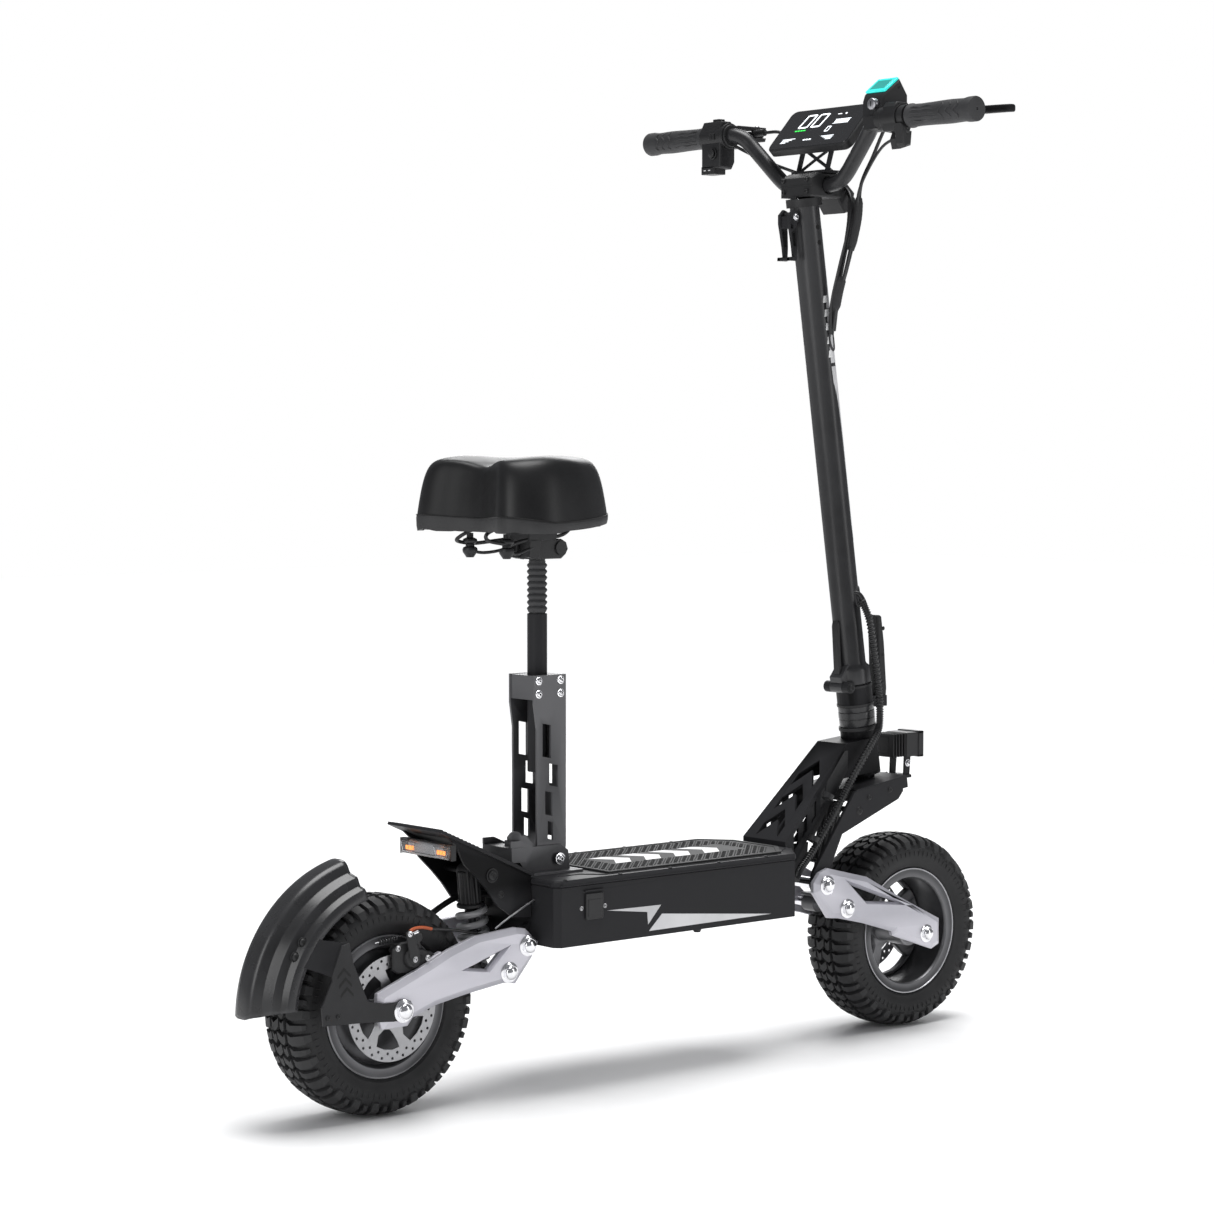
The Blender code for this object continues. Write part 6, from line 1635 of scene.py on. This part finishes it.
def make_upper_cables():
    """Cables from the controls, gathered in woven sleeves, into the stem's upper port."""
    for name, points, radius in (
        ("left_brake_line",
         [(0.828, 0.135, 1.34), (0.836, 0.1, 1.336), (0.848, 0.05, 1.3),
          (0.852, 0.0, 1.265), (0.842, -0.035, 1.23), (0.832, -0.045, 1.195),
          (0.822, -0.038, 1.13), (0.816, -0.03, 1.08), (0.818, -0.022, 1.035)], 0.0026),
        ("left_switch_line",
         [(0.79, 0.16, 1.32), (0.806, 0.11, 1.295), (0.836, 0.05, 1.27),
          (0.846, -0.005, 1.256), (0.836, -0.04, 1.235), (0.826, -0.049, 1.195),
          (0.814, -0.04, 1.13), (0.809, -0.03, 1.08), (0.813, -0.023, 1.035)], 0.0024),
        ("right_brake_line",
         [(0.828, -0.135, 1.34), (0.838, -0.108, 1.328), (0.842, -0.08, 1.29),
          (0.838, -0.06, 1.25), (0.838, -0.054, 1.2), (0.826, -0.044, 1.13),
          (0.82, -0.032, 1.085), (0.821, -0.023, 1.04)], 0.0026),
        ("throttle_line",
         [(0.798, -0.17, 1.308), (0.806, -0.135, 1.298), (0.824, -0.09, 1.272),
          (0.83, -0.064, 1.24), (0.83, -0.058, 1.2), (0.82, -0.048, 1.13),
          (0.815, -0.036, 1.085), (0.816, -0.025, 1.04)], 0.0022),
    ):
        tube_piece(name, points, 60, radius, 10, CABLE_SKIN, "stem")
    sleeves = bmesh.new()
    for points, radius in (
        ([(0.839, -0.04, 1.233), (0.832, -0.0465, 1.2), (0.826, -0.045, 1.16)], 0.0062),
        ([(0.836, -0.058, 1.232), (0.834, -0.057, 1.2), (0.827, -0.051, 1.156)], 0.0062),
        ([(0.8195, -0.0395, 1.118), (0.8165, -0.035, 1.096), (0.8165, -0.028, 1.07)], 0.0078),
    ):
        add_tube(sleeves, smooth_route(points, 24), radius, 20,
                 swell=lambda i: 0.72 + 0.28 * min(1.0, i / 3, (23 - i) / 3) + 0.03 * (i % 2))
    piece("cable_sleeves", sleeves, SLEEVE_WEAVE, "stem")


def make_loom():
    """The corrugated loom from the stem's lower port, beside the neck, into the deck.

    It is two pieces, split where the route passes a height of 0.5, and neither is filed on a body.
    """
    route = smooth_route(
        [(0.873, -0.03, 0.645), (0.883, -0.0365, 0.615), (0.8915, -0.039, 0.562),
         (0.9, -0.0395, 0.509), (0.902, -0.04, 0.472), (0.896, -0.0415, 0.45),
         (0.87, -0.045, 0.422), (0.835, -0.049, 0.383), (0.81, -0.0515, 0.353),
         (0.779, -0.053, 0.316), (0.75, -0.0545, 0.284), (0.724, -0.057, 0.262),
         (0.71, -0.062, 0.248)], 440)
    split = min(range(len(route)), key=lambda i: abs(route[i].z - 0.5))
    for name, run, lower, upper, nodes, first in (
        ("main_loom_corrugated", route[split:], "chassis", "fork", ("main_loom",), -20),
        ("main_loom_upper", route[:split + 1], "fork", "stem", (), -1),
    ):
        shape = bmesh.new()
        add_tube(shape, run, 0.0058, 16, swell=lambda i: (0.76, 1.0, 1.0, 0.76)[i % 4])
        obj = piece(name, shape, CABLE_SKIN, None, nodes, smooth_angle=20.0)
        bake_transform(obj)
    tube_piece("loom_leads",
               [(0.866, -0.018, 0.656), (0.872, -0.025, 0.654), (0.876, -0.031, 0.644),
                (0.88, -0.0345, 0.628)], 20, 0.0036, 12, CABLE_SKIN, "stem")


# ---------------------------------------------------------------- seat
def make_mast():
    """The seat mast's slotted plates with their bright bolts and the latch at its foot."""
    dress("mast_base", DARK_COAT)
    dress("mast_frame", DARK_COAT)
    plate_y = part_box("mast_frame")[1][1]
    bolt_piece("mast_clamp_bolts",
               [((x, sign * plate_y, z), (0, sign, 0), 0.0044, 0.0036, 20)
                for sign in (1, -1) for x in (0.264, 0.302) for z in (0.556, 0.538)],
               CHROME, "seat_mast")
    bolt_piece("mast_hinge_bolts",
               [((0.294, sign * 0.0358, 0.313), (0, sign, 0), 0.0062, 0.0052, 24)
                for sign in (1, -1)], CHROME, "chassis")
    latch = bmesh.new()
    knob = [(0.0, 0.011), (0.006, 0.011), (0.0092, 0.009), (0.0092, 0.0055), (0.008, 0.005),
            (0.0092, 0.004), (0.0092, 0.001), (0.0072, 0.0), (0.0, 0.0)]
    add_turned(latch, knob, (0.231, -0.014, 0.344), (-0.35, -0.9, 0.1), 28)
    add_rod(latch, (0.231, -0.014, 0.344), (0.236, 0.002, 0.342), 0.004, 16)
    add_plate(latch, [[(0.23, 0.34), (0.236, 0.349), (0.244, 0.347), (0.256, 0.335),
                       (0.26, 0.324), (0.256, 0.323), (0.244, 0.333)]],
              -0.026, -0.0225, chamfer=0.0006)
    add_box(latch, (0.229, -0.024, 0.333), (0.237, 0.004, 0.34))
    piece("mast_latch", latch, DARK_COAT, "chassis")


def make_post():
    """The seat post, the sprung rod with the clamp head, and the rubber gaiter."""
    shape = bmesh.new()
    low, high = (Vector(corner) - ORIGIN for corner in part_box("seat_post"))
    add_turned(
        shape,
        [(0.0, low.z), (0.013, low.z), (0.0136, low.z + 0.0008), (0.0136, high.z - 0.001),
         (0.0128, high.z), (0.0118, high.z), (0.0118, high.z - 0.03), (0.0, high.z - 0.03)],
        (POST_X, 0.0, 0.0), (0, 0, 1), 48,
    )
    piece("seat_post_drawn", shape, POWDER_COAT, "seat_post", ("seat_post",))
    rod = bmesh.new()
    add_rod(rod, (POST_X, 0, 0.56), (POST_X, 0, 0.726), 0.011, 48)
    side = [(0.264, 0.72), (0.314, 0.72), (0.322, 0.726), (0.326, 0.733),
            (0.323, 0.742), (0.314, 0.747), (0.264, 0.746)]
    add_plate(rod, [side], -0.015, 0.015, chamfer=0.0015)
    jaw = [(0.256, 0.723), (0.272, 0.719), (0.276, 0.75), (0.26, 0.754)]
    for sign in (1, -1):
        add_side_plate(rod, [jaw], sign, 0.013, 0.0225, chamfer=0.0015)
    add_rod(rod, (0.312, -0.0175, 0.7345), (0.312, 0.0175, 0.7345), 0.0095, 32)
    piece("saddle_rod_head", rod, CAST_BLACK, "saddle_rod", ("saddle_rod",))
    bore, top, bottom, folds = 0.0112, 0.715, 0.648, 8
    step = (top - bottom) / folds
    profile = [(bore, top + 0.002), (0.0118, top + 0.002)]
    for k in range(folds):
        z = top - k * step
        profile += [(bore, z), (0.0138, z - step * 0.35), (0.0138, z - step * 0.55)]
    profile += [(0.0118, bottom - 0.0005), (bore, bottom - 0.0005)]
    gaiter = bmesh.new()
    add_turned(gaiter, profile, (POST_X, 0, 0), (0, 0, 1), 48, closed=True)
    obj = piece("seat_gaiter", gaiter, GRIP_RUBBER, "saddle_rod", smooth_angle=60.0)
    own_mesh(obj)


SADDLE_TOP_Z = 0.859


def make_saddle():
    """The padded top: rings from the crown down its sides, then a stitched skirt."""
    centre = Vector((0.24, 0.0, 0.0))
    around = 128
    plan = saddle_plan(around)
    levels = (
        # (share of the plan, share of the height between the seam and the crown)
        (0.08, 1.0), (0.22, 1.0), (0.36, 1.0), (0.49, 1.0), (0.6, 0.998), (0.69, 0.993),
        (0.765, 0.978), (0.82, 0.945), (0.862, 0.885), (0.897, 0.79), (0.926, 0.66),
        (0.953, 0.48), (0.977, 0.25), (1.0, 0.0), (1.0, -0.06), (0.985, -0.1),
    )
    shape = bmesh.new()
    rings = []
    for share, rise in levels:
        ring = []
        for x, y in plan:
            crown = saddle_top(x * share, y * share)
            seam = seam_height(x)
            height = max(seam + (crown - seam) * rise, 0.764)
            ring.append(centre + Vector((x * share, y * share, height)))
        rings.append(ring)
    add_rings(shape, rings, caps=False)
    shape.verts.ensure_lookup_table()
    first = shape.verts[:around]
    tip = shape.verts.new(centre + Vector((0.0, 0.0, saddle_top(0.0, 0.0))))
    for k in range(around):
        shape.faces.new((first[k], first[(k + 1) % around], tip))
    pad = piece("saddle_pad", shape, LEATHER, "saddle", ("saddle",), smooth_angle=80.0)
    soften = pad.modifiers.new("soft", "SUBSURF")
    soften.levels = 1
    soften.render_levels = 1
    make_saddle_skirt(centre, plan)
    make_saddle_underside()


def seam_height(x):
    """The seam under the pad: lowest beside the rider's thighs, rising in front and behind."""
    forward = max(0.0, x + 0.03) / 0.1515
    backward = max(0.0, -0.03 - x) / 0.0685
    return 0.7735 + 0.011 * forward**1.6 + 0.009 * backward


def make_saddle_skirt(centre, plan):
    """The grey band under the seam, gathered behind, with its base and its stitches."""
    shape = bmesh.new()
    rings = []
    for out, share in ((0.985, -0.08), (1.0, 0.0), (1.01, 0.18), (1.008, 0.6), (0.998, 1.0),
                       (0.94, 0.9)):
        ring = []
        for k, (x, y) in enumerate(plan):
            behind = min(1.0, max(0.0, (-x - 0.01) / 0.05))
            drop = (0.0125 + 0.0095 * behind) * share
            pleat = 0.0026 * behind * math.sin(k * 0.78) if share >= 0.6 else 0.0
            tuck = 1.0 + 0.014 * behind * math.sin(k * 0.78 + 1.2) * max(0.0, share)
            height = max(seam_height(x) - drop + pleat, 0.7585)
            ring.append(centre + Vector((x * out * tuck, y * out * tuck, height)))
        rings.append(ring)
    add_rings(shape, rings, caps=False)
    piece("saddle_skirt", shape, SKIRT, "saddle", smooth_angle=60.0)
    base = bmesh.new()
    outline = [(centre.x + x * 0.93, y * 0.93) for x, y in plan]
    add_plate(base, [outline], 0.765, 0.768, axis="Z")
    piece("saddle_base", base, MOULDED, "saddle")
    piping = bmesh.new()
    bead = [centre + Vector((x * 1.004, y * 1.004, seam_height(x) - 0.0004)) for x, y in plan]
    add_tube(piping, bead + bead[:2], 0.0009, 8)
    piece("saddle_piping", piping, HOLE_SHADE_AND_DARK_TRIM, "saddle")


def make_saddle_underside():
    """Wire rails, their rear loops, and two rubber springs under the base."""
    rails = bmesh.new()
    rail = [(0.33, 0.018, 0.764), (0.312, 0.02, 0.753), (0.28, 0.021, 0.748),
            (0.25, 0.022, 0.747), (0.224, 0.03, 0.744), (0.206, 0.04, 0.742),
            (0.186, 0.044, 0.744), (0.172, 0.034, 0.748), (0.178, 0.024, 0.756),
            (0.198, 0.022, 0.764)]
    brace = [(0.268, 0.023, 0.74), (0.24, 0.026, 0.732), (0.218, 0.035, 0.729),
             (0.2, 0.04, 0.732)]
    for sign in (1, -1):
        for points, count, radius in ((rail, 60, 0.0026), (brace, 30, 0.0022)):
            route = smooth_route([(x, sign * y, z) for x, y, z in points], count)
            add_tube(rails, route, radius, 12)
    piece("saddle_rails", rails, CAST_BLACK, "saddle")
    rubbers = bmesh.new()
    profile = [(0.0, 0.033), (0.0046, 0.033), (0.0046, 0.027), (0.0092, 0.025),
               (0.01, 0.0225), (0.0092, 0.02), (0.006, 0.018), (0.006, 0.015),
               (0.0092, 0.0135), (0.0104, 0.0105), (0.0098, 0.007), (0.007, 0.003),
               (0.005, 0.0), (0.0, 0.0)]
    for sign in (1, -1):
        add_turned(rubbers, profile, (0.199, sign * 0.04, 0.723), (0, 0, 1), 28)
    piece("saddle_rubber_springs", rubbers, MOULDED, "saddle")
    clamp = bmesh.new()
    bridge = [(0.248, 0.744), (0.296, 0.746), (0.3, 0.76), (0.296, 0.765),
              (0.256, 0.765), (0.247, 0.758)]
    add_plate(clamp, [bridge], -0.026, 0.026, chamfer=0.0015)
    cheek = [(0.248, 0.724), (0.266, 0.72), (0.272, 0.748), (0.25, 0.748)]
    for sign in (1, -1):
        add_side_plate(clamp, [cheek], sign, 0.016, 0.026, chamfer=0.0012)
    piece("saddle_clamp", clamp, CAST_BLACK, "saddle")


def saddle_plan(around):
    """The saddle's plan as points round its middle: two rear lobes, a deep notch, a broad front."""
    half = [
        (0.1215, 0.0), (0.1175, 0.043), (0.095, 0.086), (0.05, 0.113), (0.005, 0.125),
        (-0.032, 0.129), (-0.064, 0.1205), (-0.0835, 0.1025), (-0.0885, 0.082),
        (-0.0775, 0.055), (-0.066, 0.028), (-0.059, 0.0),
    ]
    loop = half + [(x, -y) for x, y in reversed(half[1:-1])]
    points = [Vector((x, y, 0.0)) for x, y in loop]
    count = len(points)
    dense = []
    for i in range(count):
        span = [points[(i + k) % count] for k in (-1, 0, 1, 2)]
        dense += [spline_point(*span, step / 12) for step in range(12)]
    lengths = [(dense[(i + 1) % len(dense)] - dense[i]).length for i in range(len(dense))]
    total = sum(lengths)
    plan, travelled, index = [], 0.0, 0
    for k in range(around):
        target = total * k / around
        while travelled + lengths[index] < target:
            travelled += lengths[index]
            index += 1
        t = (target - travelled) / lengths[index]
        plan.append(dense[index] * (1 - t) + dense[(index + 1) % len(dense)] * t)
    return [(p.x, p.y) for p in plan]


def saddle_top(x, y):
    """The crown's height: highest along both sides and in front, lower at the back and between."""
    sides = math.exp(-(((x + 0.012) / 0.055) ** 2) - ((abs(y) - 0.085) / 0.05) ** 2)
    front = math.exp(-(((x - 0.08) / 0.045) ** 2) - (y / 0.08) ** 2)
    behind = min(1.0, max(0.0, (0.045 - x) / 0.08))
    valley = 0.0075 * math.exp(-((y / 0.03) ** 2)) * behind
    return SADDLE_TOP_Z - 0.0055 + 0.007 * min(1.0, sides + front) - valley


# ---------------------------------------------------------------- stage
def add_area(name, place, aim, size, energy):
    """A rectangular softbox aimed at a point."""
    data = bpy.data.lights.new(name, "AREA")
    data.shape = "RECTANGLE"
    data.size, data.size_y = size
    data.energy = energy
    light = bpy.data.objects.new(name, data)
    bpy.context.scene.collection.objects.link(light)
    light.location = place
    light.rotation_euler = (Vector(aim) - Vector(place)).to_track_quat("-Z", "Y").to_euler()


def make_stage():
    """A plain pale floor, an overhead softbox, three smaller ones, and a white surround."""
    mesh = bpy.data.meshes.new("studio_floor")
    sheet = bmesh.new()
    bmesh.ops.create_grid(sheet, x_segments=1, y_segments=1, size=14.0)
    sheet.to_mesh(mesh)
    sheet.free()
    floor = bpy.data.objects.new("studio_floor", mesh)
    bpy.context.scene.collection.objects.link(floor)
    mesh.materials.append(surface("studio_floor_paint", (0.9, 0.9, 0.9), 0.55, variation=0.01,
                                  specular=0.2, grain_depth=0.00001))
    sky = bpy.data.lights.new("overhead_softbox", "SUN")
    sky.energy = 3.3
    sky.angle = math.radians(42)
    overhead = bpy.data.objects.new("overhead_softbox", sky)
    bpy.context.scene.collection.objects.link(overhead)
    overhead.rotation_euler = (math.radians(-3), math.radians(6), 0.0)
    add_area("rear_softbox", (-3.4, -0.6, 1.5), (-0.1, 0.0, 0.6), (1.2, 2.0), 30)
    add_area("front_left_softbox", (2.6, 2.8, 2.0), (0.0, 0.0, 0.6), (1.6, 2.2), 40)
    add_area("right_strip", (1.9, -3.0, 1.2), (0.1, 0.0, 0.7), (0.35, 2.2), 16)
    world = bpy.data.worlds.new("studio")
    bpy.context.scene.world = world
    world.use_nodes = True
    nodes, links = world.node_tree.nodes, world.node_tree.links
    ambient = nodes["Background"]
    ambient.inputs["Color"].default_value = (0.93, 0.95, 1.0, 1.0)
    ambient.inputs["Strength"].default_value = 0.22
    seen = nodes.new("ShaderNodeBackground")
    seen.inputs["Color"].default_value = (1.0, 1.0, 1.0, 1.0)
    seen.inputs["Strength"].default_value = 1.0
    mix = nodes.new("ShaderNodeMixShader")
    path = nodes.new("ShaderNodeLightPath")
    links.new(path.outputs["Is Camera Ray"], mix.inputs["Fac"])
    links.new(ambient.outputs["Background"], mix.inputs[1])
    links.new(seen.outputs["Background"], mix.inputs[2])
    links.new(mix.outputs["Shader"], nodes["World Output"].inputs["Surface"])
    view = bpy.context.scene.view_settings
    view.view_transform = "Standard"
    view.look = "None"
    view.exposure = 0.0


def make_camera():
    """The camera stands behind the scooter's right side, a little above the deck."""
    data = bpy.data.cameras.new("camera")
    data.lens = 91.28
    data.sensor_width = 36.0
    data.clip_end = 60.0
    camera = bpy.data.objects.new("camera", data)
    bpy.context.scene.collection.objects.link(camera)
    camera.location = ORIGIN + Vector((-2.3347, -3.2612, 0.8833))
    look = Vector((0.64257, 0.76428, -0.05467))
    camera.rotation_euler = look.to_track_quat("-Z", "Y").to_euler()
    bpy.context.scene.camera = camera


def build_scene():
    make_camera()
    make_stage()
    make_rear_wheel()
    make_front_wheel()
    make_suspension()
    make_fender()
    for side, sign in SIDES:
        make_fender_bracket(side, sign)
    make_caliper()
    make_deck()
    make_neck()
    make_tail()
    make_fork()
    make_stem()
    make_bar()
    make_display()
    make_grip("left", 1, 0.211)
    make_grip("right", -1, 0.216)
    make_switch_pod()
    for side, sign in SIDES:
        make_perch(side, sign)
    for side, sign in SIDES:
        make_brake_lever(side, sign)
    make_throttle()
    make_key_module()
    make_upper_cables()
    make_loom()
    make_mast()
    make_post()
    make_saddle()


build_scene()
